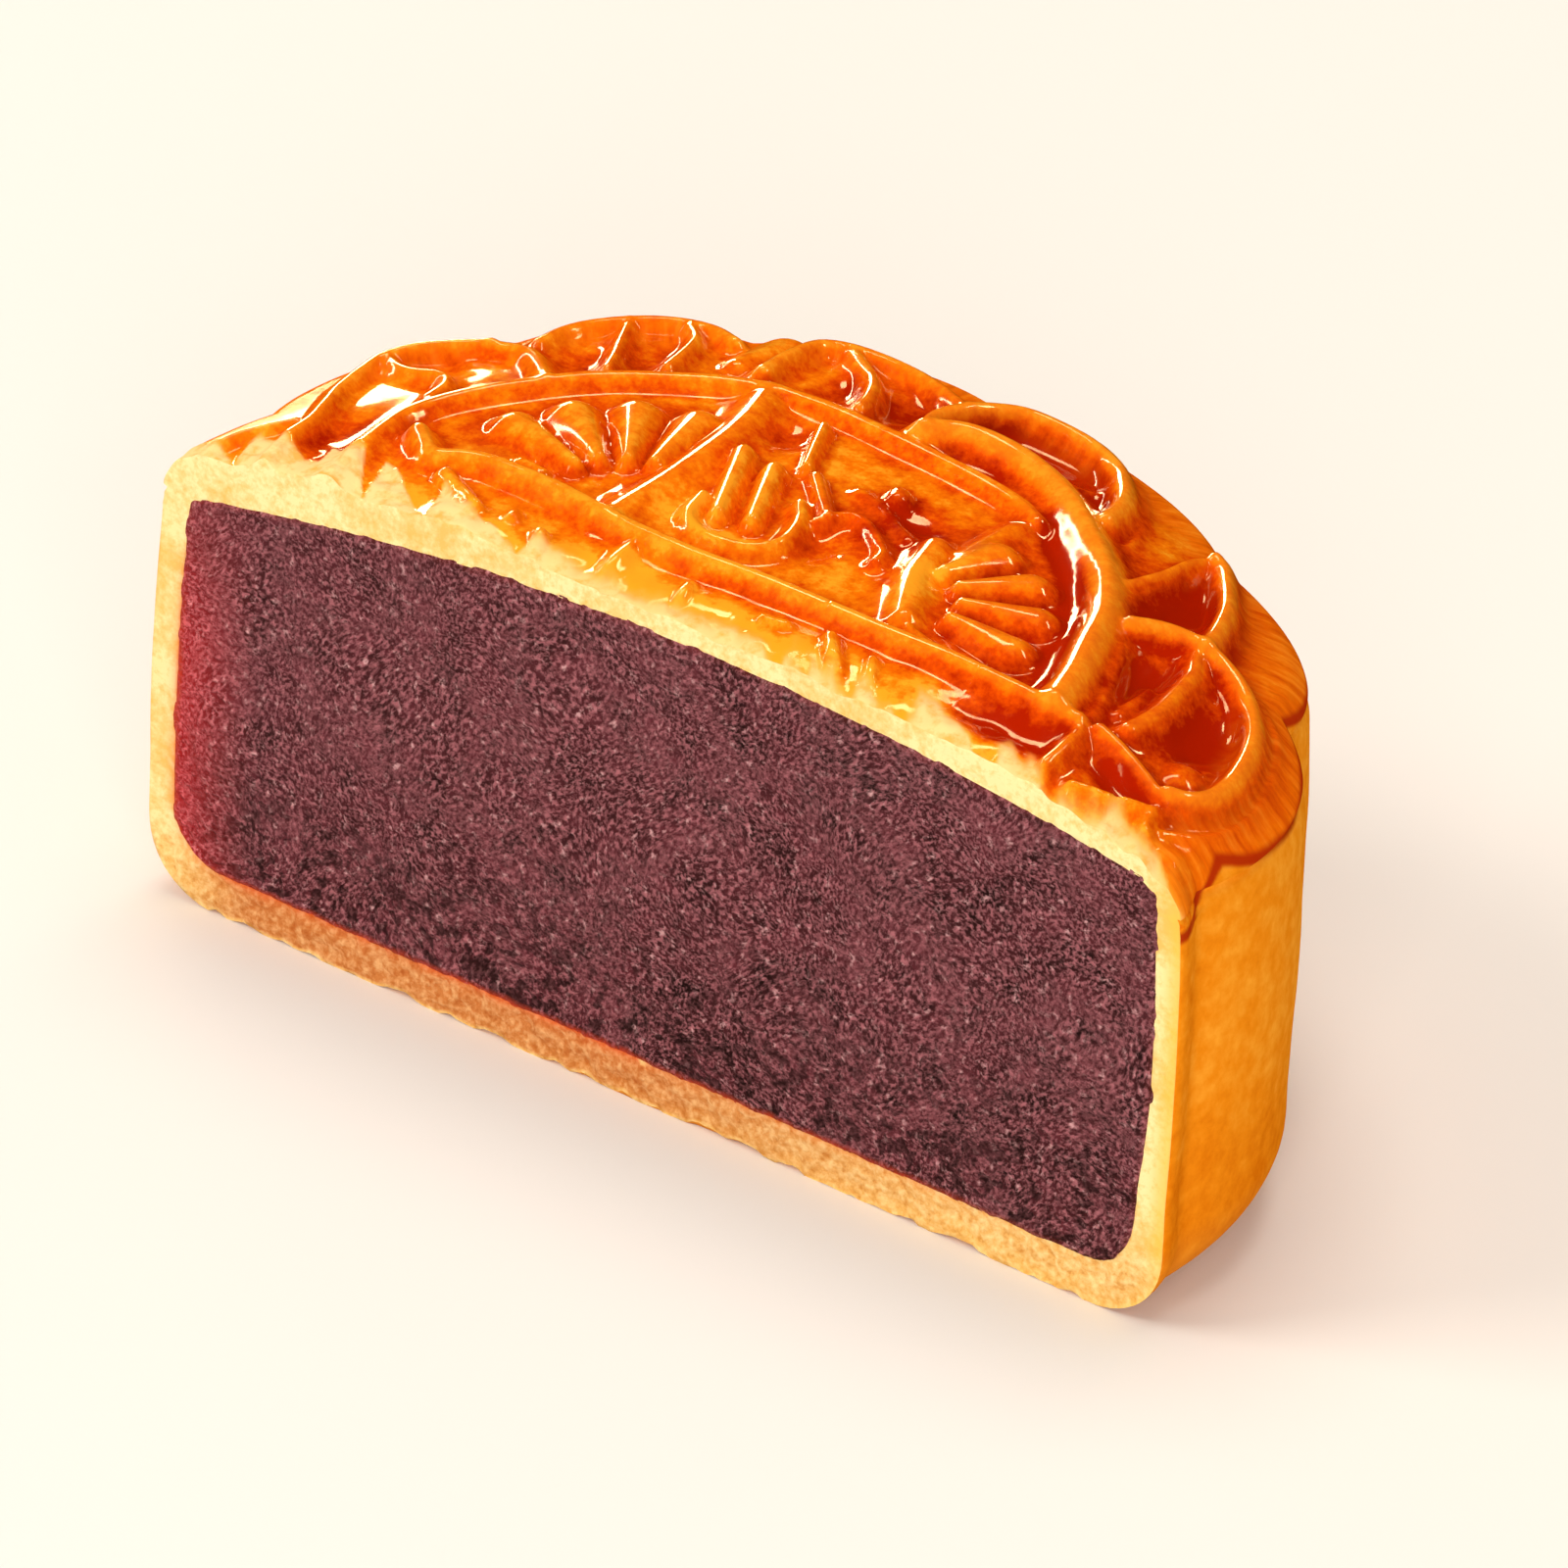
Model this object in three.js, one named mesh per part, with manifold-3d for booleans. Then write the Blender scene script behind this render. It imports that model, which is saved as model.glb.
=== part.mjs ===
// Half of a round Cantonese-style mooncake, as it lies after the cake was cut in two.
// A baked crust with a lobed wall and a moulded, glazed top holds a block of sweet bean paste,
// which shows at the cut. Millimetres, +Z up.
//
// The crust and the paste are worked out about the whole cake's axis, with the cut parallel to X
// and the kept half on the +Y side. At the end they are moved together, so that the origin is at
// the bottom centre of the half's box. The cut then faces -Y.

import * as THREE from 'three';
import { mergeVertices } from 'three/addons/utils/BufferGeometryUtils.js';
import Module from 'manifold-3d';

const wasm = await Module();
wasm.setup();

const cutOffset = 1.4; // the knife passed this far in front of the axis

// Wall and rim
const crestRadius = 40.2; // axis to the crest of a lobe
const grooveDepth = 1.7; // groove between two lobes
const lobeRoundness = 2.3; // 2 is a plain arc, more is a flatter lobe with a tighter groove
const wallDraft = 0.8; // the wall leans in by this much at the rim
const draftStart = 12; // height where it begins to lean
const cornerRadius = 6; // between the base and the wall
const rimHeight = 29.4; // the crease under the rim
const rimCrease = 0.35;
const rimRoll = 1.5; // how far in it rounds over from the crease to the crown

// Top
const crownHeight = 35.6; // floor of the pattern at the axis
const crownFall = 4.7; // how far it has fallen at the crown's edge
const crownRadius = 38;
const crownPower = 4.5;

// The cake stands fuller in one direction
const fullAngle = 130; // degrees from +X
const fullSpread = 92; // degrees to either side where that ends
const fullShare = 0.68; // share of the crown's fall that is missing there
const rimRise = 1.6; // how much higher the rim is there

// Paste
const wallThickness = 2.5;
const lobesInPaste = 0.4; // share of the grooves that the paste follows
const baseThickness = 3.3;
const pasteCorner = 4.5;
const pasteCrown = 33.7; // its height at the axis
const pasteShoulder = 29.9; // its height at its edge
const pasteTilt = 0.012; // rise of its top towards +X, mm in a mm
const pasteEdge = 0.9; // rounding of its top edge
const gap = 0.3; // between the paste and the crust

// Moulded pattern. Each ridge is a width, a height over the crown and its path in plan.
const ridgeRoot = 0.8; // how deep a ridge is sunk in the dough
const ringLines = [
  [2.2, 1.0, [[-26.2, -2.4], [-27, 4], [-27.3, 8], [-26, 12], [-23.4, 16], [-20.3, 19.8], [-16.4, 22.9],
    [-13, 24.9], [-9.5, 25.8], [-5.5, 25.8], [-1.5, 25.4], [3, 25], [8, 24.2], [10.8, 23]]],
  [3.0, 1.5, [[-0.8, 27], [0.6, 28.6], [2.8, 29.2], [6.2, 28.7], [10.2, 26.9], [14.6, 23.3], [18, 19.9],
    [20.4, 16.2], [22, 12.3], [23.4, 8.6], [24.4, 5]]],
  [1.6, 0.7, [[19.6, 20.4], [22, 16], [24, 12.2], [25.5, 8.8], [26.3, 6]]],
];
const bars = [
  [2.2, 1.25, [[-24.9, 6.2], [-22.3, 4.2], [-18.5, 5.5], [-13, 5.3], [-8, 4.5], [-2, 4.2], [4, 4.5],
    [14, 4.5], [26.2, 4.8]]],
  [1.8, 1.1, [[27.6, 5.2], [30, 4.5], [33.1, 3.3]]],
  [1.4, 0.7, [[12.6, 6.2], [18.3, 4.3]]],
  [3.2, 1.0, [[-9.2, 5], [-9.3, 14], [-10, 20], [-11.4, 25]]],
  [2.4, 0.8, [[10.4, 21.4], [10.2, 15.5]]],
  [3.4, 0.95, [[8.3, 15.4], [9.4, 11.6], [11.8, 7]]],
  [1.7, 1.0, [[26.4, 4.8], [27.1, 3.2], [27.3, -2.4]]],
  [1.7, 0.7, [[-6, 3.6], [-5.4, -2.4]]],
  [1.5, 0.85, [[29.4, -0.3], [31.5, 0.4], [33.6, 1.8]]],
  [1.3, 0.8, [[33.8, 2.3], [34.3, 0.2], [35.2, -2.4]]],
];
// The bud's cup and a curl
const curls = [
  [1.6, 1.0, [[-6.2, 10.8], [-5.4, 8.2], [-3.2, 6.9], [-0.4, 7.2], [0.9, 9.2], [0.3, 12], [-1, 14]]],
  [1.3, 0.8, [[0.9, 13], [1.8, 14.9], [3.2, 15], [4.8, 13.9], [6.2, 12.6], [6.5, 11.4]]],
  [1.4, 0.45, [[0.4, 18.4], [3.6, 17.2], [6.2, 15.4]]],
];
// From right to left: the arch, the legs and the ribs of each petal
const petals = [
  [2.0, 1.5, [[22.3, 16.4], [24, 17.9], [26.2, 18.7], [28.7, 18], [31, 16.5], [33, 14.2], [34.4, 11.3],
    [35.2, 8.4], [35.3, 6], [34.7, 4.4], [33.8, 3.6]]],
  [2.1, 1.1, [[26.5, 17.6], [27.6, 15.4], [28.4, 12], [28.8, 9.5], [28.7, 6.8]]],
  [2.0, 1.5, [[26.4, 18.4], [26, 20], [25.2, 22.2], [24, 24.7], [22.2, 27.4], [20.8, 29.2], [19.8, 29.8]]],
  [1.5, 1.1, [[19.8, 29.8], [19.4, 27.5], [19.6, 24], [19.2, 20.4]]],
  [2.2, 1.5, [[13.6, 26.4], [13, 29], [11.4, 31.8], [9.3, 34.2], [6.8, 35.6], [4, 36], [1.6, 35.6],
    [0.2, 34.2], [-1, 32], [-1.5, 29.5], [-0.8, 27]]],
  [0.9, 0.35, [[9.8, 35.6], [12.2, 33], [14.2, 29.8], [15.4, 26.9], [15.8, 24.8]]],
  [2.0, 1.15, [[-1.2, 32.4], [-4, 33.8], [-6.5, 34.7], [-9.5, 35.1], [-12, 34.8], [-13.5, 33.6],
    [-13.7, 31], [-13.4, 27]]],
  [1.8, 1.15, [[-11.6, 34.4], [-9.3, 32.6], [-7.5, 30.9], [-6.4, 28.9], [-5.8, 27]]],
  [1.8, 1.0, [[-17.6, 29.8], [-19.7, 30.5], [-21.9, 30.2], [-24.1, 28.8], [-26, 26.4], [-26.9, 24],
    [-26.9, 21]]],
  [1.5, 0.9, [[-24.6, 27.9], [-23.6, 25.9], [-22.4, 23.6], [-21.1, 20.8]]],
  [1.6, 1.0, [[-21.1, 29.8], [-19.7, 28.4], [-18.9, 26.3], [-18.3, 23.4]]],
  [2.0, 1.0, [[-29.2, 19.2], [-26.9, 19.7], [-25.2, 18.8], [-23.2, 17]]],
  [1.7, 1.1, [[-29.2, 19.2], [-31.3, 18], [-33.2, 16.5], [-34.2, 14.3], [-34, 12], [-33.5, 9],
    [-32.6, 6.4], [-31.9, 4], [-31.7, 1], [-31.2, -2.4]]],
  [1.5, 0.9, [[-33.8, 14.4], [-32.2, 13.5], [-30.8, 13.3], [-29, 13.7], [-27.8, 12.6], [-27.6, 10.4]]],
  [1.6, 0.8, [[-33, 4], [-34.6, 2.3], [-35.8, 0.6], [-36.5, -2.4]]],
];
// A bud between two leaves, then a knob, and the low leaves and knobs along the cut: width, height,
// start and end
const leaves = [
  [2.1, 1.15, [-4.2, 9.6], [-7.6, 17]], [2.1, 1.15, [-2, 10.2], [-4.8, 16.4]],
  [1.4, 0.95, [-3.6, 18.2], [-6, 23.4]], [1.6, 0.95, [-2.4, 17.6], [1.2, 13.8]],
  [2.3, 0.9, [2.6, 19.5], [2.9, 18.9]],
  [1.8, 0.85, [-20.4, 3], [-16.4, 0.8]], [1.4, 0.5, [-14.1, 2], [-13.8, 1.3]],
  [1.4, 0.6, [-11.3, 0.8], [-10.2, -1.2]], [1.6, 0.7, [9.7, 2.3], [11.8, -0.3]],
  [1.2, 0.5, [13.1, 1.9], [14.6, -1.1]], [1.4, 0.5, [5.2, 1.5], [6.8, 1.7]],
  [2.8, 0.5, [32.6, 7.2], [32.9, 6.6]], [3.2, 0.7, [-15.6, 27.4], [-15.4, 32.6]],
];
// Fans of fingers that widen outwards
const fans = [
  { centre: [-10, 7.2], hub: 5, reach: 14, from: 91, to: 171, fingers: 4, height: 1.15 },
  { centre: [9.8, 8.6], hub: 4.4, reach: 11.6, from: -14, to: 92, fingers: 4, height: 1.15 },
];

// Angles of the grooves in degrees from the +X end of the cut. The dough settled unevenly in the
// kept half, and the half that was cut away is taken as even.
const keptGrooves = [2, 32, 59, 92, 119, 143, 171];
const lostLobes = 7;
const lostLobe = (360 + keptGrooves[0] - keptGrooves.at(-1)) / lostLobes;
const grooves = [...keptGrooves];
for (let k = 1; k <= lostLobes; k += 1) grooves.push(keptGrooves.at(-1) + k * lostLobe);

const aroundCount = 104; // points round the crust, eight for each of about thirteen lobes
const pasteCount = 64; // points round the paste

const radians = THREE.MathUtils.degToRad;
const degrees = THREE.MathUtils.radToDeg;
const { cos, sin, atan2, abs, hypot, PI } = Math;

// 0 on the crest of a lobe, 1 in a groove
function lobePhase(angle) {
  const turned = ((angle - grooves[0] + 360) % 360) + grooves[0];
  const k = grooves.findIndex((groove, i) => turned >= groove && turned < grooves[i + 1]);
  const across = (turned - grooves[k]) / (grooves[k + 1] - grooves[k]);
  return abs(2 * across - 1);
}

function wallRadius(angle, height, grooveShare = 1) {
  const lean = Math.max(0, (height - draftStart) / (rimHeight - draftStart));
  const groove = grooveShare * grooveDepth * lobePhase(angle) ** lobeRoundness;
  return crestRadius - groove - wallDraft * lean ** 2;
}

// 1 in the direction in which the cake is fullest, 0 away from it
function fullness(angle) {
  const away = abs(((angle - fullAngle + 540) % 360) - 180);
  return away < fullSpread ? cos((PI / 2) * (away / fullSpread)) ** 2 : 0;
}

const rim = (angle) => rimHeight + rimRise * fullness(angle);

// Height of the pattern's floor over a plan point
function crown(x, y) {
  const fall = crownFall * (1 - fullShare * fullness(degrees(atan2(y, x))));
  return crownHeight - fall * (hypot(x, y) / crownRadius) ** crownPower;
}

// A ring of points round the axis. radiusAt takes the angle in degrees, heightAt the plan point
// and the angle.
function ring(count, radiusAt, heightAt) {
  return Array.from({ length: count }, (_, j) => {
    const angle = (360 * j) / count;
    const radius = radiusAt(angle);
    const x = radius * cos(radians(angle));
    const y = radius * sin(radians(angle));
    return new THREE.Vector3(x, y, heightAt(x, y, angle));
  });
}

// A closed skin over rings of points, with a fan to its middle at each end. The rings run
// anticlockwise about the direction in which they follow each other, and may differ in count.
function loft(rings) {
  const middle = (points) => points
    .reduce((sum, point) => sum.add(point), new THREE.Vector3())
    .divideScalar(points.length);
  const points = rings.flat();
  const faces = [];
  const fan = (first, count, centre, turned) => {
    for (let j = 0; j < count; j += 1) {
      const pair = [first + j, first + ((j + 1) % count)];
      faces.push(centre, ...(turned ? pair : pair.reverse()));
    }
  };
  const stitch = (low, lowCount, high, highCount) => {
    let i = 0;
    let j = 0;
    while (i < lowCount || j < highCount) {
      const lowNow = low + (i % lowCount);
      const highNow = high + (j % highCount);
      if (j === highCount || (i < lowCount && (i + 1) / lowCount <= (j + 1) / highCount)) {
        i += 1;
        faces.push(lowNow, low + (i % lowCount), highNow);
      } else {
        j += 1;
        faces.push(lowNow, high + (j % highCount), highNow);
      }
    }
  };
  let first = 0;
  fan(first, rings[0].length, points.length, false);
  for (let k = 1; k < rings.length; k += 1) {
    stitch(first, rings[k - 1].length, first + rings[k - 1].length, rings[k].length);
    first += rings[k - 1].length;
  }
  fan(first, rings.at(-1).length, points.length + 1, true);
  const ends = [middle(rings[0]), middle(rings.at(-1))];
  const geometry = new THREE.BufferGeometry().setFromPoints([...points, ...ends]);
  geometry.setIndex(faces);
  return geometry;
}

function toSolid(geometry) {
  geometry.deleteAttribute('normal');
  geometry.deleteAttribute('uv');
  const merged = mergeVertices(geometry);
  return new wasm.Manifold(new wasm.Mesh({
    numProp: 3,
    vertProperties: new Float32Array(merged.attributes.position.array),
    triVerts: new Uint32Array(merged.index.array),
  }));
}

function toGeometry(solid) {
  const { vertProperties, triVerts } = solid.getMesh();
  const geometry = new THREE.BufferGeometry();
  geometry.setAttribute('position', new THREE.BufferAttribute(vertProperties, 3));
  geometry.setIndex(new THREE.BufferAttribute(triVerts, 1));
  return geometry;
}

// The whole cake's outside without its pattern, from the base up and over to the axis
function cakeBody() {
  const cornerSteps = 5;
  const wallHeights = [12, 18, 24];
  const creaseHeight = 0.6; // the wall ends this far under the rim
  const rimSteps = 4;
  const crownRings = [[35.5, 78], [32.5, 52], [26, 36], [15, 18]]; // radius and count of points
  const around = (radiusAt, heightAt) => ring(aroundCount, radiusAt, heightAt);
  const rings = [];
  for (let i = 0; i <= cornerSteps; i += 1) {
    const turn = (i / cornerSteps) * (PI / 2);
    rings.push(around(
      (angle) => wallRadius(angle, cornerRadius, i / cornerSteps) - cornerRadius * (1 - sin(turn)),
      () => cornerRadius * (1 - cos(turn)),
    ));
  }
  for (const height of wallHeights) {
    rings.push(around((angle) => wallRadius(angle, height), () => height));
  }
  rings.push(around(
    (angle) => wallRadius(angle, rimHeight),
    (x, y, angle) => rim(angle) - creaseHeight,
  ));
  rings.push(around(
    (angle) => wallRadius(angle, rimHeight) - rimCrease,
    (x, y, angle) => rim(angle),
  ));
  for (let i = 1; i <= rimSteps; i += 1) {
    const turn = (i / rimSteps) * (PI / 2);
    rings.push(around(
      (angle) => wallRadius(angle, rimHeight) - rimRoll * (1 - cos(turn)),
      (x, y, angle) => rim(angle) + (crown(x, y) - rim(angle)) * sin(turn),
    ));
  }
  for (const [radius, count] of crownRings) rings.push(ring(count, () => radius, crown));
  return loft(rings);
}

// The whole cake's block of paste, grown on every side by margin
function pasteBody(margin) {
  const cornerSteps = 4;
  const edgeSteps = 2;
  const wallHeights = [14, 22];
  const crownRings = [[31, 48], [23, 36], [14, 24], [5, 12]]; // radius and count of points
  const side = (angle, height) => (
    wallRadius(angle, height, lobesInPaste) - wallThickness + margin
  );
  const around = (radiusAt, heightAt) => ring(pasteCount, radiusAt, heightAt);
  const rings = [];
  for (let i = 0; i <= cornerSteps; i += 1) {
    const turn = (i / cornerSteps) * (PI / 2);
    const height = baseThickness - margin + pasteCorner * (1 - cos(turn));
    rings.push(around(
      (angle) => side(angle, height) - pasteCorner * (1 - sin(turn)),
      () => height,
    ));
  }
  for (const height of wallHeights) rings.push(around((angle) => side(angle, height), () => height));
  for (let i = 0; i <= edgeSteps; i += 1) {
    const turn = (i / edgeSteps) * (PI / 2);
    const height = pasteShoulder + margin - pasteEdge * (1 - sin(turn));
    rings.push(around(
      (angle) => side(angle, height) - pasteEdge * (1 - cos(turn)),
      (x) => height + pasteTilt * x,
    ));
  }
  const pasteRadius = crestRadius - wallThickness;
  for (const [radius, count] of crownRings) {
    const fall = (pasteCrown - pasteShoulder) * (radius / pasteRadius) ** 2;
    rings.push(ring(count, () => radius, (x) => pasteCrown + margin - fall + pasteTilt * x));
  }
  return loft(rings);
}

// Section of a ridge: across as a share of its width, up as a share of its height. Below the
// surface it is sunk by ridgeRoot.
const roundTop = [[-0.5, -1], [0.5, -1], [0.38, 0.6], [0, 1], [-0.38, 0.6]];

// A ridge over the plan points of its path, which lies on the crown. It may widen to endWidth.
function ridge(path, width, height, endWidth = width) {
  const rings = path.map(([x, y], i) => {
    const [beforeX, beforeY] = path[Math.max(0, i - 1)];
    const [afterX, afterY] = path[Math.min(path.length - 1, i + 1)];
    const step = hypot(afterX - beforeX, afterY - beforeY);
    const leftX = -(afterY - beforeY) / step;
    const leftY = (afterX - beforeX) / step;
    const wide = width + ((endWidth - width) * i) / (path.length - 1);
    return roundTop.map(([across, up]) => new THREE.Vector3(
      x + leftX * across * wide,
      y + leftY * across * wide,
      crown(x, y) + (up < 0 ? -ridgeRoot : up * height),
    ));
  });
  return toSolid(loft(rings));
}

// A smooth line through the plan points of a path
function curve(path) {
  if (path.length < 3) return line(...path);
  const points = path.map(([x, y]) => new THREE.Vector2(x, y));
  const steps = Math.ceil(1.6 * (path.length - 1));
  return new THREE.SplineCurve(points).getPoints(steps).map(({ x, y }) => [x, y]);
}

function line([x0, y0], [x1, y1], steps = 3) {
  return Array.from({ length: steps + 1 }, (_, i) => {
    const t = i / steps;
    return [x0 + (x1 - x0) * t, y0 + (y1 - y0) * t];
  });
}

const polar = (radius, angle, [x, y] = [0, 0]) => [
  x + radius * cos(radians(angle)),
  y + radius * sin(radians(angle)),
];

// A smooth raised leaf from start to end, half sunk in the crown
function leaf(width, height, start, end) {
  const [dx, dy] = [end[0] - start[0], end[1] - start[1]];
  const [x, y] = [(start[0] + end[0]) / 2, (start[1] + end[1]) / 2];
  const geometry = new THREE.SphereGeometry(1, 10, 6);
  geometry.scale((hypot(dx, dy) + width) / 2, width / 2, height);
  geometry.rotateZ(atan2(dy, dx));
  geometry.translate(x, y, crown(x, y));
  return toSolid(geometry);
}

// Fingers that spread from a hub and lie side by side
function fan({ centre, hub, reach, from, to, fingers, height }) {
  const spread = (to - from) / fingers;
  const half = sin(radians(spread / 2));
  return Array.from({ length: fingers }, (_, k) => {
    const angle = from + (k + 0.5) * spread;
    const path = line(polar(hub, angle, centre), polar(reach, angle, centre));
    return ridge(path, 1.9 * hub * half, height, 1.9 * reach * half);
  });
}

function pattern() {
  return [
    ...[...ringLines, ...bars, ...curls, ...petals].map(([width, height, path]) => ridge(curve(path), width, height)),
    ...leaves.map((one) => leaf(...one)),
    ...fans.flatMap(fan),
  ].reduce((sum, piece) => sum.add(piece));
}

// Everything on the +Y side of the cut
const halfSize = 4 * crestRadius;
const keptSide = toSolid(
  new THREE.BoxGeometry(halfSize, halfSize, halfSize)
    .translate(0, halfSize / 2 - cutOffset, 0),
);

const crust = toSolid(cakeBody())
  .add(pattern())
  .subtract(toSolid(pasteBody(gap)))
  .intersect(keptSide);
const paste = toSolid(pasteBody(0)).intersect(keptSide);

const crustMaterial = new THREE.MeshStandardMaterial({
  color: '#e88a22', roughness: 0.4, metalness: 0,
});
const pasteMaterial = new THREE.MeshStandardMaterial({
  color: '#5f3039', roughness: 0.8, metalness: 0,
});

const crustMesh = new THREE.Mesh(toGeometry(crust), crustMaterial);
crustMesh.name = 'crust';
const pasteMesh = new THREE.Mesh(toGeometry(paste), pasteMaterial);
pasteMesh.name = 'filling';

const half = new THREE.Group();
half.add(crustMesh, pasteMesh);
const middle = new THREE.Box3().setFromObject(crustMesh).getCenter(new THREE.Vector3());
half.position.set(-middle.x, -middle.y, 0);

const mooncake = new THREE.Group();
mooncake.add(half);

export default mooncake;
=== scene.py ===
import math
from functools import partial
import bmesh
import bpy
import numpy as np
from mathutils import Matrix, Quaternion, Vector


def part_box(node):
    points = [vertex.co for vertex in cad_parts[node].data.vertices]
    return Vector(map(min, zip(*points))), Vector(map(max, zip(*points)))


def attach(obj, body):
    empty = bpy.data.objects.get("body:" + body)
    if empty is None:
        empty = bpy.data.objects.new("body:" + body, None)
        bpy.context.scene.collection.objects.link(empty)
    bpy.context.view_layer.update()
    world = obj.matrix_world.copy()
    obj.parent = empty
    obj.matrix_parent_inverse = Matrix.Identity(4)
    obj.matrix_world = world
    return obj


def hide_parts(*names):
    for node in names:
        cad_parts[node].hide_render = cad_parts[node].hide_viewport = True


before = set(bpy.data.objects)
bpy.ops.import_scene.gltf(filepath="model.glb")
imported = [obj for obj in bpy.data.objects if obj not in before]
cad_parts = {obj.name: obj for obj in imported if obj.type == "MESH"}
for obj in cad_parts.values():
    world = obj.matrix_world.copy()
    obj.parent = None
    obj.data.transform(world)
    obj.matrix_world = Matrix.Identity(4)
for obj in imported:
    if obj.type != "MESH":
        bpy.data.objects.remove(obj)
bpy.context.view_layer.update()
print("stage: frame loaded")

mm = 0.001

# The whole cake the half was cut from, in mm and degrees about its axis. The cut runs along X and
# the kept half is behind it.
cake = {
    "cutOffset": 1.4,  # the knife passed this far in front of the axis
    "leftReach": 40.12,  # axis to the leftmost point of the crust
    "crestRadius": 40.2,  # axis to the crest of a lobe
    "grooveDepth": 1.7,
    "lobeRoundness": 2.3,  # 2 is a plain arc, more is a flatter lobe with a tighter groove
    "wallDraft": 0.8,
    "draftStart": 12.0,
    "cornerRadius": 6.0,
    "rimHeight": 29.4,
    "crownHeight": 35.6,
    "crownFall": 4.7,
    "crownRadius": 38.0,
    "crownPower": 4.5,
    "fullAngle": 130.0,  # degrees; the cake stands fuller in this direction
    "fullSpread": 92.0,
    "fullShare": 0.68,
    "rimRise": 1.6,
    "grooves": [2, 32, 59, 92, 119, 143, 171],
    "lostLobes": 7,
}

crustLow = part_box("crust")[0] / mm
axisX = crustLow.x + cake["leftReach"]
axisY = crustLow.y + cake["cutOffset"]
cutY = -cake["cutOffset"]  # the cut, seen from the axis

lastGroove = cake["grooves"][-1]
lostLobe = (360 + cake["grooves"][0] - lastGroove) / cake["lostLobes"]
grooveAngles = np.array(
    cake["grooves"] + [lastGroove + lostLobe * (k + 1) for k in range(cake["lostLobes"])], float
)


# 0 on the crest of a lobe, 1 in a groove
def lobePhase(angle):
    turned = (angle - grooveAngles[0]) % 360 + grooveAngles[0]
    k = np.clip(np.searchsorted(grooveAngles, turned, side="right") - 1, 0, len(grooveAngles) - 2)
    across = (turned - grooveAngles[k]) / (grooveAngles[k + 1] - grooveAngles[k])
    return np.abs(2 * across - 1)


def wallRadius(angle, height, grooveShare=1.0):
    lean = np.maximum(0, (height - cake["draftStart"]) / (cake["rimHeight"] - cake["draftStart"]))
    groove = grooveShare * cake["grooveDepth"] * lobePhase(angle) ** cake["lobeRoundness"]
    return cake["crestRadius"] - groove - cake["wallDraft"] * lean ** 2


def fullness(angle):
    away = np.abs((angle - cake["fullAngle"] + 540) % 360 - 180) / cake["fullSpread"]
    return np.where(away < 1, np.cos(np.pi / 2 * np.minimum(away, 1)) ** 2, 0)


def rimAt(angle):
    return cake["rimHeight"] + cake["rimRise"] * fullness(angle)


def crownAt(x, y):
    fall = cake["crownFall"] * (1 - cake["fullShare"] * fullness(np.degrees(np.arctan2(y, x))))
    return cake["crownHeight"] - fall * (np.hypot(x, y) / cake["crownRadius"]) ** cake["crownPower"]


# Smooth repeatable noise from -1 to 1, with features of this size in mm. The primes and shifts
# scatter the cells of its grid.
def noise(x, y, z, size, seed):
    spots = [np.asarray(value, float) / size + 512 for value in np.broadcast_arrays(x, y, z)]
    cells = [np.floor(value).astype(np.int64) for value in spots]
    parts = [value - cell for value, cell in zip(spots, cells)]
    parts = [part * part * (3 - 2 * part) for part in parts]
    total = 0
    for corner in range(8):
        steps = (corner & 1, corner >> 1 & 1, corner >> 2)
        n = seed * 7919
        weight = 1
        for cell, part, step, prime in zip(cells, parts, steps, (73856093, 19349663, 83492791)):
            n = n ^ ((cell + step) * prime)
            weight = weight * (part if step else 1 - part)
        n = (n ^ (n >> 13)) & 0x7FFFFFFF
        n = (n * 1274126177) & 0x7FFFFFFF
        n = n ^ (n >> 15)
        total = total + weight * (n & 0xFFFF) / 65535
    return 2 * total - 1


def smoothStep(value, low, high):
    t = np.clip((value - low) / (high - low), 0, 1)
    return t * t * (3 - 2 * t)


def around(radius, angle, centre=(0, 0)):
    return (centre[0] + radius * math.cos(math.radians(angle)),
            centre[1] + radius * math.sin(math.radians(angle)))


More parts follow.
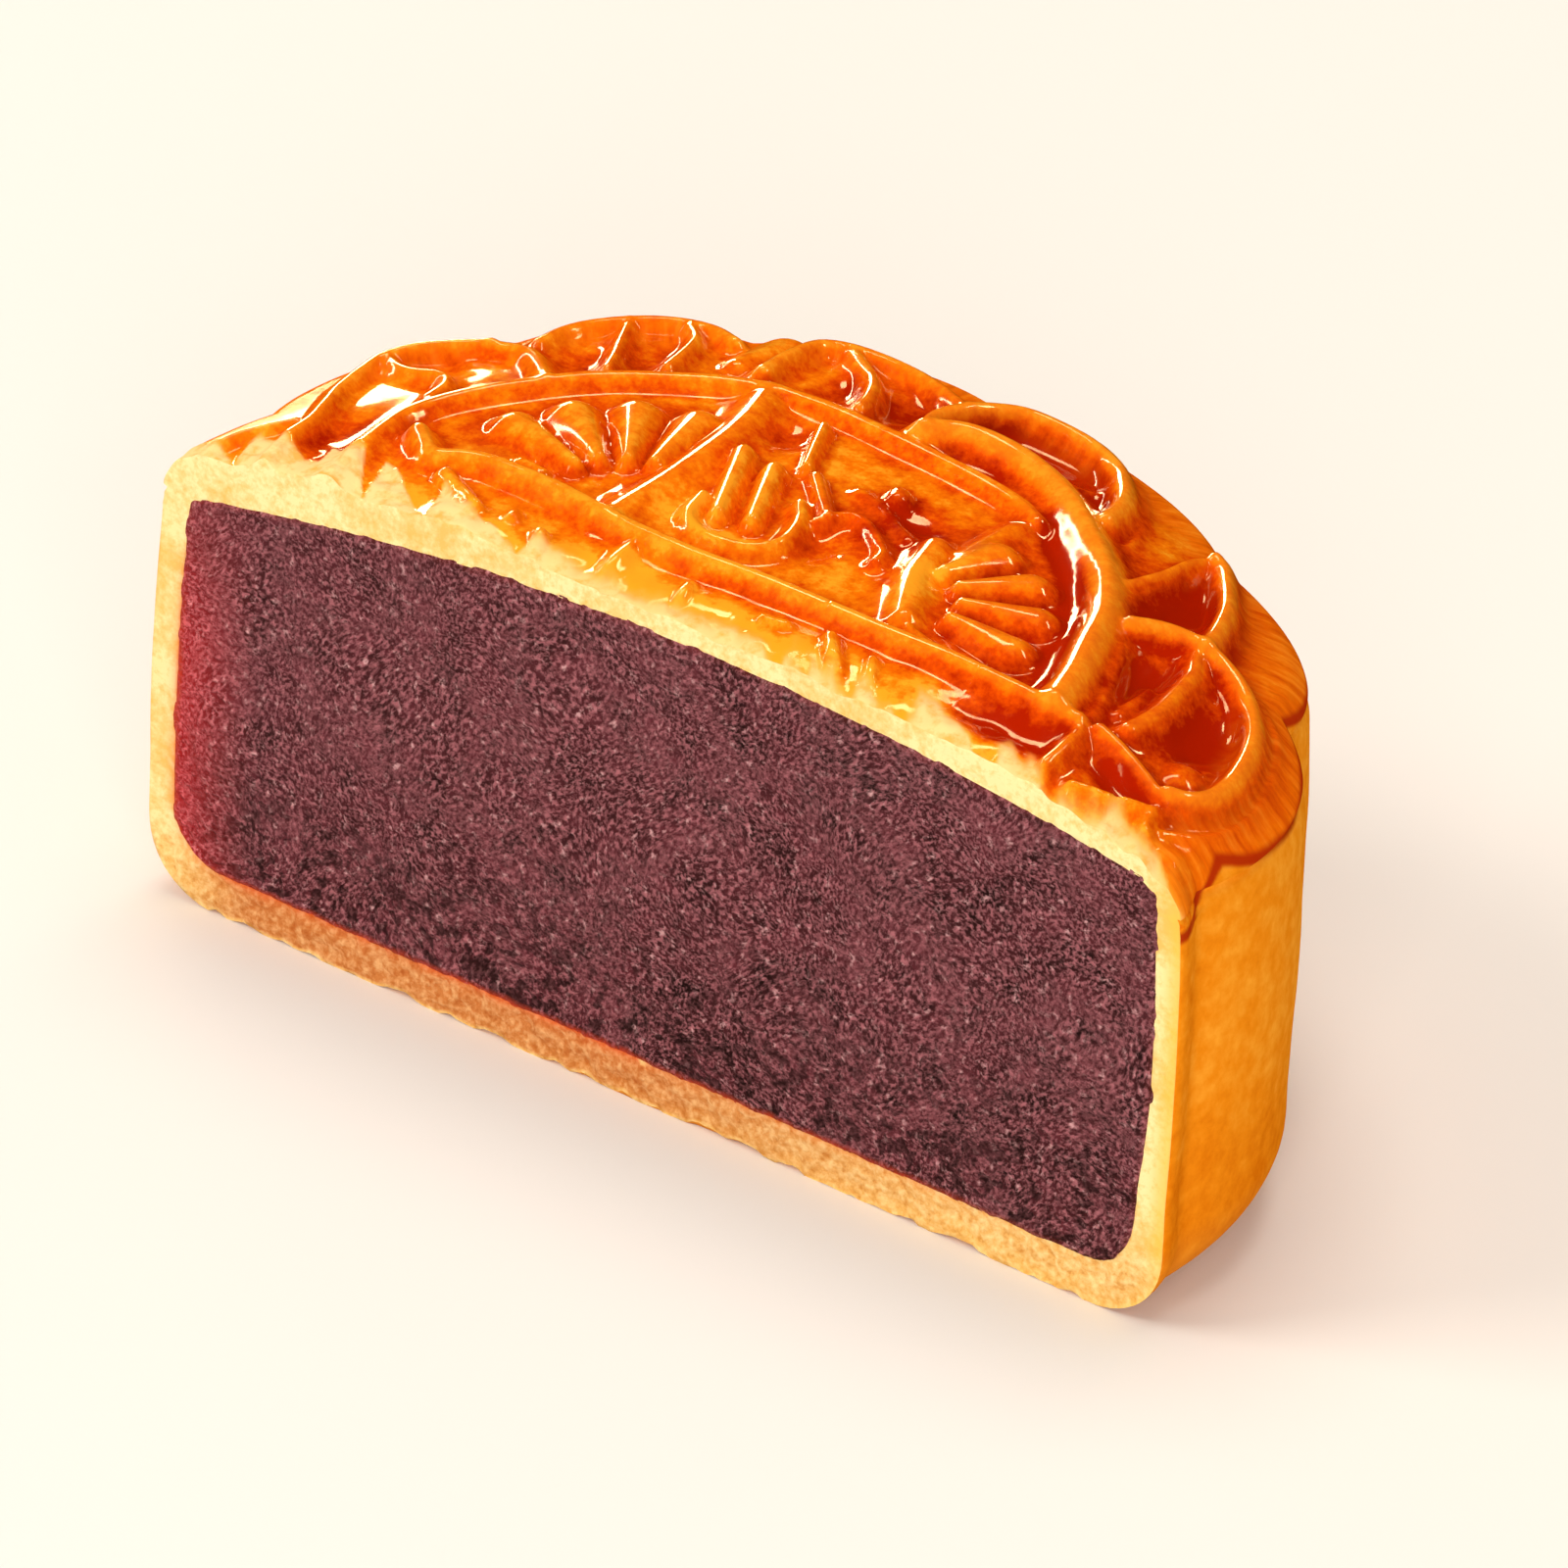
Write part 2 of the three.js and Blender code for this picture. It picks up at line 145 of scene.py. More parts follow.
# The moulded pattern, in mm about the axis. A ridge is a width, a height, how square it is across
# (2 is a soft swell) and its path. A flute is a rounded finger: width at its start, width at its
# end, height, start and end. A hollow is a depth, two radii and its middle.
relief = {
    "ridges": [
        # inner line of the ring, left to right, then its outer line and the step outside that
        (2.2, 1.0, 2.2, [(-26.2, -1.6), (-27, 4), (-27.3, 8), (-26, 12), (-23.4, 16), (-20.3, 19.8),
            (-16.4, 22.9), (-13, 24.9), (-9.5, 25.8), (-5.5, 25.8), (-1.5, 25.4), (3, 25), (8, 24.2),
            (10.8, 23)]),
        (3.4, 1.75, 2.0, [(-0.8, 27), (0.6, 28.6), (2.8, 29.2), (6.2, 28.7), (10.2, 26.9), (14.6, 23.3),
            (18, 19.9), (20.4, 16.2), (22, 12.3), (23.4, 8.6), (24.4, 5)]),
        (1.6, 0.7, 2.0, [(19.6, 20.4), (22, 16), (24, 12.2), (25.5, 8.8), (26.3, 6)]),
        # the bar, the short bar after it, and the posts
        (2.2, 1.25, 2.3, [(-24.9, 6.2), (-22.3, 4.2), (-20.5, 5), (-18.5, 5.5), (-13, 5.3), (-8, 4.5),
            (-2, 4.2), (4, 4.5), (14, 4.5), (26.2, 4.8)]),
        (1.8, 1.1, 2.2, [(27.6, 5.2), (30, 4.5), (33.1, 3.3)]),
        (1.4, 0.7, 2.0, [(12.6, 6.2), (18.3, 4.3)]),
        (3.2, 1.0, 2.0, [(-9.2, 5), (-9.3, 14), (-10, 20), (-11.4, 25)]),
        (2.4, 0.8, 2.1, [(10.4, 21.4), (10.2, 15.5)]),
        (2.8, 1.1, 2.2, [(8.3, 15.4), (9.4, 11.6), (11.8, 7)]),
        (1.7, 1.0, 2.2, [(26.4, 4.8), (27.1, 3.2), (27.3, -1.4)]),
        (1.7, 0.7, 2.0, [(-6.0, 3.6), (-5.5, -1.4)]),
        (1.5, 0.85, 2.1, [(29.4, -0.3), (31.5, 0.4), (33.6, 1.8)]),
        (1.3, 0.8, 2.0, [(33.8, 2.3), (34.3, 0.2), (35.2, -1.4)]),
        # petals from right to left: arch, legs and ribs of each
        (2.0, 1.5, 2.4, [(22.3, 16.4), (24, 17.9), (26.2, 18.7), (28.7, 18), (31, 16.5), (33, 14.2),
            (34.4, 11.3), (35.2, 8.4), (35.3, 6), (34.7, 4.4), (33.8, 3.6)]),
        (2.1, 1.1, 2.3, [(26.5, 17.6), (27.6, 15.4), (28.4, 12), (28.8, 9.5), (28.7, 6.8)]),
        (1.2, 0.45, 2.0, [(26.4, 12.3), (27, 8)]),
        (0.9, 0.4, 2.0, [(30.6, 18.4), (33.4, 16.2), (35.2, 13.2), (36.5, 9.8), (37, 6.4), (36.5, 3.4),
            (34.9, 1.2)]),
        (2.0, 1.5, 2.4, [(26.4, 18.4), (26, 20), (25.2, 22.2), (24, 24.7), (22.2, 27.4), (20.8, 29.2),
            (19.8, 29.8)]),
        (1.5, 1.1, 2.1, [(19.8, 29.8), (19.4, 27.5), (19.6, 24), (19.2, 20.4)]),
        (2.2, 1.5, 2.4, [(13.6, 26.4), (13, 29), (11.4, 31.8), (9.3, 34.2), (6.8, 35.6), (4, 36),
            (1.6, 35.6), (0.2, 34.2), (-1, 32), (-1.5, 29.5), (-0.8, 27)]),
        (0.9, 0.35, 2.0, [(9.8, 35.6), (12.2, 33), (14.2, 29.8), (15.4, 26.9), (15.8, 24.8)]),
        (2.0, 1.15, 2.3, [(-1.2, 32.4), (-4, 33.8), (-6.5, 34.7), (-9.5, 35.1), (-12, 34.8),
            (-13.5, 33.6), (-13.7, 31), (-13.4, 27)]),
        (1.8, 1.15, 2.2, [(-11.6, 34.4), (-9.3, 32.6), (-7.5, 30.9), (-6.4, 28.9), (-5.8, 27)]),
        (1.8, 1.0, 2.2, [(-17.6, 29.8), (-19.7, 30.5), (-21.9, 30.2), (-24.1, 28.8), (-26, 26.4),
            (-26.9, 24), (-26.9, 21)]),
        (1.5, 0.9, 2.1, [(-24.6, 27.9), (-23.6, 25.9), (-22.4, 23.6), (-21.1, 20.8)]),
        (1.6, 1.0, 2.1, [(-21.1, 29.8), (-19.7, 28.4), (-18.9, 26.3), (-18.3, 23.4)]),
        (2.0, 1.0, 2.3, [(-29.2, 19.2), (-26.9, 19.7), (-25.2, 18.8), (-23.2, 17)]),
        (1.7, 1.1, 2.2, [(-29.2, 19.2), (-31.3, 18), (-33.2, 16.5), (-34.2, 14.3), (-34, 12), (-33.5, 9),
            (-32.6, 6.4), (-31.9, 4), (-31.7, 1), (-31.2, -1.6)]),
        (1.5, 0.9, 2.1, [(-33.8, 14.4), (-32.2, 13.5), (-30.8, 13.3), (-29, 13.7), (-27.8, 12.6),
            (-27.6, 10.4)]),
        (1.6, 0.8, 2.1, [(-33, 4), (-34.6, 2.3), (-35.8, 0.6), (-36.3, -1.4)]),
        # the cup of the bud, and a curl
        (1.6, 1.0, 2.1, [(-6.2, 10.8), (-5.4, 8.2), (-3.2, 6.9), (-0.4, 7.2), (0.9, 9.2), (0.3, 12),
            (-1, 14)]),
        (1.3, 0.8, 2.0, [(0.9, 13), (1.8, 14.9), (3.2, 15), (4.8, 13.9), (6.2, 12.6), (6.5, 11.4)]),
        (1.4, 0.45, 2.0, [(0.4, 18.4), (3.6, 17.2), (6.2, 15.4)]),
    ],
    "flutes": [
        # a bud between two leaves, and a knob
        (1.8, 2.3, 1.15, (-4.2, 9.6), (-7.6, 17)), (1.8, 2.3, 1.15, (-2, 10.2), (-4.8, 16.4)),
        (1.2, 1.6, 0.95, (-3.6, 18.2), (-6, 23.4)), (1.7, 1.5, 0.95, (-2.4, 17.6), (1.2, 13.8)),
        (2.3, 2.3, 0.9, (2.6, 19.5), (2.9, 18.9)),
        # low leaves and knobs that are left of the panels along the cut
        (1.9, 1.5, 0.85, (-20.4, 3.0), (-16.4, 0.8)), (1.3, 1.3, 0.5, (-14.0, 1.9), (-13.9, 1.4)),
        (1.4, 1.2, 0.6, (-11.3, 0.8), (-10.2, -1.2)), (1.5, 1.7, 0.7, (9.7, 2.3), (11.8, -0.3)),
        (1.2, 1.2, 0.5, (13.1, 1.9), (14.6, -1.1)), (1.2, 1.4, 0.5, (5.2, 1.5), (6.8, 1.7)),
        (1.4, 1.2, 0.5, (-0.6, 1.9), (-0.2, 0.2)), (2.8, 2.8, 0.5, (32.6, 7.2), (32.9, 6.6)),
        (2.6, 3.6, 0.7, (-15.6, 27.4), (-15.4, 32.6)), (1.6, 1.4, 0.5, (-17.8, 7.4), (-16.0, 7.2)),
    ],
    # a fan of fingers: its centre, the radii where they start and end, its angles, how many, height
    "fans": [
        ((-10.0, 7.2), 5.0, 14.0, (91, 171), 4, 1.15),
        ((9.8, 8.6), 4.4, 11.6, (-14, 92), 4, 1.15),
    ],
    "hollows": [
        (0.8, 1.7, 3.6, (31.6, 11.6)), (0.6, 1.3, 3.2, (25.6, 12.4)), (0.8, 1.9, 4.0, (22.4, 23.6)),
        (0.6, 1.8, 1.5, (22.2, 18.4)), (0.8, 5.0, 2.0, (5.0, 32.6)), (0.6, 1.7, 1.7, (10.4, 30.0)),
        (0.6, 1.4, 2.6, (-9.2, 29.2)), (0.6, 2.0, 2.6, (-4.2, 30.4)), (0.4, 1.2, 3.2, (-20.6, 25.4)),
        (0.4, 1.5, 1.8, (-23.6, 21.6)), (0.3, 2.2, 1.1, (-30.6, 16.0)), (0.45, 2.0, 4.6, (-29.4, 3.6)),
        (0.5, 4.0, 1.3, (22.4, 1.4)), (0.55, 1.9, 1.1, (30.6, 2.6)), (0.5, 1.4, 1.9, (-7.3, 21.6)),
        (0.4, 2.0, 1.2, (5.2, 17.6)), (0.3, 1.5, 2.0, (2.4, 11.0)), (0.3, 2.0, 1.2, (4.4, 31.0)),
        (0.3, 4.0, 1.0, (4.0, 27.0)),
    ],
    # the deep line inside the ring on the right, width, depth and path; most of its shade is painted into
    # the glaze's colour
    "crease": (1.5, 0.2, [(10.6, 24), (13.2, 21.4), (16.2, 18.6), (18.6, 15.8), (20.3, 12.8),
                         (21.6, 9.6), (22.6, 6.8)]),
    "blend": 5,  # more lets ridges cross without swelling
    "ridgeReach": 0.95,  # a ridge is felt this far from its path, and falls off over this much
    "ridgeFall": 0.45,  # of its width
    "fluteRound": 1.15,
    "fanOverlap": 1.02,
    "hollowRound": 1.5,
}


# A smooth curve through the points of a path
def curve(path, steps=4):
    path = np.array(path, float)
    if len(path) < 3:
        return path
    ends = np.array([2 * path[0] - path[1], *path, 2 * path[-1] - path[-2]])
    t = np.linspace(0, 1, steps, endpoint=False)[:, None]
    parts = []
    for a, b, c, d in zip(ends[:-3], ends[1:-2], ends[2:-1], ends[3:]):
        parts.append(b + t * ((c - a) + t * ((2 * a - 5 * b + 4 * c - d) + t * (3 * b - a - 3 * c + d))) / 2)
    return np.concatenate([*parts, path[-1:]])


ridges = [(curve(path), width, height, square) for width, height, square, path in relief["ridges"]]
flutes = list(relief["flutes"])

for centre, hub, reach, (start, end), count, height in relief["fans"]:
    half = math.sin(math.radians((end - start) / count) / 2)
    reach -= reach * half
    widths = 2 * hub * half, 2 * reach * half * relief["fanOverlap"]
    for k in range(count):
        angle = start + (k + 0.5) / count * (end - start)
        flutes.append((*widths, height, around(hub, angle, centre), around(reach, angle, centre)))


# Distance from plan points to a line of plan points, and how far along it is, from 0 to 1
def awayFrom(px, py, path):
    away = np.full(px.shape, np.inf)
    along = np.zeros(px.shape)
    for i, ((x0, y0), (x1, y1)) in enumerate(zip(path[:-1], path[1:])):
        dx, dy = x1 - x0, y1 - y0
        t = np.clip(((px - x0) * dx + (py - y0) * dy) / (dx * dx + dy * dy), 0, 1)
        here = np.hypot(px - x0 - t * dx, py - y0 - t * dy)
        along = np.where(here < away, (i + t) / (len(path) - 1), along)
        away = np.minimum(away, here)
    return away, along


# Height of the pattern over its floor, with every ridge made this many times as wide
def reliefAt(x, y, wider=1.0):
    power = relief["blend"]
    total = np.zeros(np.shape(x))
    for path, width, height, square in ridges:
        reach = relief["ridgeReach"] * width * wider
        low, high = path.min(0) - reach, path.max(0) + reach
        near = (x > low[0]) & (x < high[0]) & (y > low[1]) & (y < high[1])
        if not near.any():
            continue
        away = awayFrom(x[near], y[near], path)[0]
        across = away / (relief["ridgeFall"] * width * wider)
        total[near] += (height * np.exp(-across ** square)) ** power
    for startWidth, endWidth, height, start, end in flutes:
        away, along = awayFrom(x, y, [start, end])
        half = (startWidth + (endWidth - startWidth) * along) / 2
        across = np.minimum(away / (half * wider), 1)
        total += (height * (1 - across ** 2) ** relief["fluteRound"]) ** power
    return total ** (1 / power)


# How deep the floor is hollowed, and 1 on the deep line inside the ring
def hollowAt(x, y):
    total = np.zeros(np.shape(x))
    for depth, radiusX, radiusY, (middleX, middleY) in relief["hollows"]:
        away = ((x - middleX) / radiusX) ** 2 + ((y - middleY) / radiusY) ** 2
        total = np.maximum(total, depth * np.exp(-away ** relief["hollowRound"]))
    width, depth, path = relief["crease"]
    line = np.exp(-(awayFrom(x, y, path)[0] / (0.5 * width)) ** 2)
    return np.maximum(total, depth * line), line


# Unevenness as layers of noise: how much in mm, the size in mm and a seed
uneven = {
    "wall": [(0.10, 9, 1), (0.05, 3.2, 2)],
    "floor": [(0.05, 5.5, 3), (0.02, 2.0, 4)],  # the floor of the pattern
    "besideCut": [(0.28, 3.4, 8), (0.10, 1.4, 9)],
    "tornCrumb": [(0.16, 1.3, 5), (0.1, 0.6, 6)],
    "tearLine": [(0.22, 0.9, 11), (0.1, 0.35, 12)],
    "glazeFoot": [(0.2, 4, 7)],
    "cutCrumb": [(0.05, 1.6, 31), (0.035, 0.6, 32)],
    "cutBottom": [(0.22, 1.0, 33), (0.14, 0.5, 34)],
    "pasteEdge": [(0.16, 1.1, 41), (0.1, 0.5, 42)],
    "pasteGrain": [(0.5, 0.75, 44), (0.35, 0.36, 45)],
}


def unevenAt(part, x, y, z):
    return sum(much * noise(x, y, z, size, seed) for much, size, seed in uneven[part])


# The torn edge where the knife dragged the glaze: along the cut, how far back from it the bare
# crumb reaches, in mm
tear = {
    "reach": [
        (-39, 1.6), (-36.6, 1.6), (-35, 0.8), (-33.7, 0.0), (-33.2, 1.8), (-32.6, 2.5), (-30, 2.0),
        (-27.6, 1.6), (-27.2, 3.4), (-26, 2.7), (-24.6, 2.9), (-23.9, 1.0), (-23.4, 0.0), (-22.9, 3.1),
        (-22, 2.9), (-20.5, 1.4), (-18.6, 0.0), (-18.2, 2.6), (-16.6, 1.6), (-14, 1.2), (-12, 0.5),
        (-11.4, 0.1), (-10.6, 1.6), (-8, 1.8), (-3, 1.7), (1, 2.0), (5, 2.2), (9, 2.6), (12, 2.2),
        (15, 2.3), (19, 1.9), (23, 1.2), (26, 1.4), (29, 0.8), (32, 0.9), (32.6, 3.2), (34.5, 2.3),
        (36.3, 2.0), (37.4, 0.2), (40, 0.0),
    ],
    "left": 1.3,  # shares of that reach on either side of the middle
    "right": 0.62,
    "slant": 0.45,  # the tongues of glaze lean by this much as they run down to the cut
    "streakSlant": 0.75,
    "streaks": [(1.365, 5, 1.5, 16), (1.05, 4, 0.7, 17)],  # reach, length to width, size and seed
    "sharp": 0.18,  # half the width of the change from crumb to glaze on the left
    "fuzzy": 0.75,  # and to the right of the middle, where the crumb has streaks
    "fray": 0.4,
}


def leftShare(x):
    return smoothStep(-x, 6, 14)


# 1 in the bare crumb, 0 in the glaze, from the place along the cut and the distance behind it,
# and how far inside the crumb that is
def tornAt(x, behind):
    left = leftShare(x)
    u = x + tear["slant"] * behind
    spots = np.array(tear["reach"])
    share = tear["right"] + (tear["left"] - tear["right"]) * left
    reach = np.interp(u, spots[:, 0], spots[:, 1]) * share + unevenAt("tearLine", u, 0, 0)
    steep = x + tear["streakSlant"] * behind
    streaky = smoothStep(x, 2, 10) * (1 - smoothStep(x, 28, 33))
    for much, length, size, seed in tear["streaks"]:
        reach = reach + streaky * much * noise(steep, behind / length, 0, size, seed)
    crisp = np.maximum(left, smoothStep(x, 31, 34))
    soft = tear["fuzzy"] + (tear["sharp"] - tear["fuzzy"]) * crisp
    fray = tear["fray"] * noise(x, behind, 0, 0.7, 15) * (1 - crisp)
    return smoothStep((reach - behind) / soft + fray, -1, 1), reach - behind


# Distance from the middle of the cut to an outline given about the axis, in plan direction phi
def reachOut(phi, radiusAt):
    dx, dy = np.cos(np.radians(phi)), np.sin(np.radians(phi))
    reach = np.full(phi.shape, cake["crownRadius"])
    for _ in range(14):  # each round comes nearer to the outline
        x, y = reach * dx, reach * dy + cutY
        reach = reach + radiusAt(np.degrees(np.arctan2(y, x))) - np.hypot(x, y)
    return reach * dx, reach * dy + cutY


# How finely the crust is drawn
fineness = {
    "round": 500,  # points round the half
    "roundWall": 200,
    "roundBase": 50,
    "baseRows": 75,  # rows
    "corner": 16,
    "roll": 12,
    "wall": 0.55,  # mm between rows
    "top": 0.2,
    "wallEnd": 1.2,  # mm from the last row of the wall to the rim
    "band": 10,  # steps across the cut crust
    "pocket": 12,  # and round the pocket
    "sharp": 78,  # degrees from which an edge shows as one
}

# The block of paste, in mm
block = {
    "grooveShare": 0.4,  # share of the wall's grooves that it follows
    "side": 2.5,  # crust beside it
    "bottom": 3.3,  # and under it
    "corner": {1: 3.3, -1: 4.5},  # lower corner on the +X and the -X side
    "lean": 0.6,  # how far the +X side leans in at the bottom
    "straight": (9, 28.6),  # heights between which the sides run straight
    "shoulder": 29.9,  # height of its upper edge
    "edge": 0.9,  # rounding of that edge
    "inset": 1.2,  # the top starts this far inside it
    "crown": 33.7,  # height at the middle
    "fall": 3.8,  # of the crown, over this radius
    "crownRadius": 37.7,
    "tilt": 0.012,  # rise of the top towards +X, mm in a mm
}


def pasteSide(angle, height, margin):
    return wallRadius(angle, height, block["grooveShare"])[0] - block["side"] + margin


# Outline of the paste at the cut, from the middle of its bottom to the middle of its top, on
# the side of +X or -X, as x and z in mm
def pasteOutline(side, margin):
    angle = np.array([0.0 if side > 0 else 180.0])
    bottom, corner, edge = block["bottom"] - margin, block["corner"][side], block["edge"]
    points = [(0.0, bottom)]
    for turn in np.linspace(0, math.pi / 2, 14):
        height = bottom + corner * (1 - math.cos(turn))
        points.append((pasteSide(angle, height, margin) - corner * (1 - math.sin(turn)), height))
    for height in np.linspace(*block["straight"], 20):
        points.append((pasteSide(angle, height, margin), height))
    reach = pasteSide(angle, block["shoulder"], margin)
    for turn in np.linspace(0, math.pi / 2, 8):
        height = block["shoulder"] + margin - edge * (1 - math.sin(turn))
        points.append((reach - edge * (1 - math.cos(turn)), height))
    for radius in np.linspace(reach - block["inset"], 0, 40):
        fall = block["fall"] * (radius / block["crownRadius"]) ** 2
        points.append((radius, block["crown"] + margin - fall))
    outline = np.array(points)
    x, z = outline.T
    z += np.where(z >= block["straight"][1], block["tilt"] * side * x, 0)
    if side > 0:
        x -= block["lean"] * smoothStep(-z, -17, -5) * smoothStep(x, 20, 34)
    x *= side
    return outline


# The same line with points this far apart in mm, or this many of them
def resample(line, spacing=None, count=None):
    steps = np.hypot(*np.diff(line, axis=0).T)
    along = np.concatenate([[0], np.cumsum(steps)])
    count = count or max(2, int(along[-1] / spacing) + 1)
    at = np.linspace(0, along[-1], count)
    return np.stack([np.interp(at, along, line[:, i]) for i in range(line.shape[1])], 1)


# Faces between two rows of point numbers, which may differ in count
def strip(low, high):
    if len(low) == len(high):
        return np.stack([low[:-1], low[1:], high[1:], high[:-1]], 1).tolist()
    faces, i, j = [], 0, 0
    while i < len(low) - 1 or j < len(high) - 1:
        lowNext = (i + 1) / (len(low) - 1)
        highNext = (j + 1) / (len(high) - 1)
        if j == len(high) - 1 or (i < len(low) - 1 and lowNext <= highNext):
            faces.append([low[i], low[i + 1], high[j]])
            i += 1
        else:
            faces.append([low[i], high[j + 1], high[j]])
            j += 1
    return faces


# A closed mesh from points in mm about the axis, with marks for each point, and material numbers
def makeMesh(name, points, faces, materialNumbers, marks, sharpAngle):
    place = np.array(points) + [axisX, axisY, 0]
    mesh = bpy.data.meshes.new(name)
    mesh.from_pydata((place * mm).tolist(), [], faces)
    mesh.polygons.foreach_set("material_index", materialNumbers)
    for key, value in marks.items():
        layer = mesh.attributes.new(key, "FLOAT", "POINT")
        layer.data.foreach_set("value", np.asarray(value, np.float32))
    work = bmesh.new()
    work.from_mesh(mesh)
    bmesh.ops.remove_doubles(work, verts=work.verts, dist=0.002 * mm)
    bmesh.ops.dissolve_degenerate(work, edges=work.edges, dist=0.001 * mm)
    bmesh.ops.recalc_face_normals(work, faces=work.faces)
    work.to_mesh(mesh)
    work.free()
    mesh.polygons.foreach_set("use_smooth", [True] * len(mesh.polygons))
    mesh.set_sharp_from_angle(angle=math.radians(sharpAngle))
    piece = bpy.data.objects.new(name, mesh)
    bpy.context.collection.objects.link(piece)
    return piece


# Spots where the glaze is yellower, and with less than 0 redder: x, y, two radii and how much. The yellow
# ones are partly thin glaze and partly painted highlight; the red ones are partly pooled glaze and partly
# painted shade in hollows and panels
tints = [
    (10, 12, 1.7, 4.5, 0.5), (-4.3, 1.2, 1.6, 2.4, 0.35), (-32, 10.8, 0.9, 2.2, 0.35),
    (-25.8, 23.5, 0.9, 2.6, 0.3), (-3, 8, 3.4, 1.2, 0.5), (-15.6, 30.8, 1.6, 2.6, 0.2),
    (-29.3, 3.6, 2.0, 5.0, -0.15), (5, 16.6, 5.0, 4.0, -0.6), (-9.6, 15, 1.4, 8, -0.2),
    (17, 12, 4, 4, -0.15), (-4, 30, 7, 4, -0.2), (-23, 24, 6, 5, -0.18), (-26, 8, 4, 5, -0.12),
    (-7, 9.4, 1.5, 1.8, 0.35), (-4, 12.5, 3.5, 4, 0.18), (23, 1.2, 3.4, 1.2, -0.3),
    (30.6, 2.6, 1.8, 1.0, -0.3), (-1, 4.6, 14, 1.0, 0.1),
]

# What the mould, the oven, the brush and the knife did to the crust, in mm
crustMarks = {
    "chips": [(0.38, 0.15, 1.1, 21), (0.12, 0.0, 0.5, 22)],  # depth, how common, size and seed
    "crease": [(0.9, 0.0), (0.65, 0.04), (0.45, 0.16), (0.25, 0.3), (0.1, 0.35), (0.0, 0.33)],  # down, in
    "roll": (0.05, 1.45),  # where the rim begins to round over, and how far in that goes
    "topReach": 38.6,  # rows of the top begin this far out
    "fullRise": 1.4,  # a ridge as high as this counts as fully risen
    "wider": 2.1,  # the pooled glaze and painted shade beside a ridge reach over this many times its width
    "shoulder": (0.5, 2.6),  # the knife pressed the top down by this much, over this width
    "rounded": (0.3, 0.8),  # the wall's corner at the cut, and its width
    "ledge": (33.5, 36.5),  # from the axis, where the plain rim begins
    "run": (0.4, 1.3, 1.6),  # the glaze runs over the rim: everywhere, less in a groove, more at the cut
    "pits": (0.35, 0.8, 0.45, 35),  # in the bottom's crumb: depth, size, how rare, seed
    "stain": {1: 0.3, -1: 0.6},  # colour that the paste gave to the crumb on either side
    "stainWidth": 0.32,
}

# Marks for the materials, one value a point
markNames = (
    "poolAndShade", "crest", "bare", "smear", "foot", "rimLine", "ledge", "turn", "reach",
    "depth", "low", "brown", "stain",
)


# Plan directions of a row's points, closer together beside the cut
def sweep(count):
    return np.concatenate([[0, 0.3, 0.7], np.linspace(1.1, 178.9, count - 1), [179.3, 179.7, 180]])


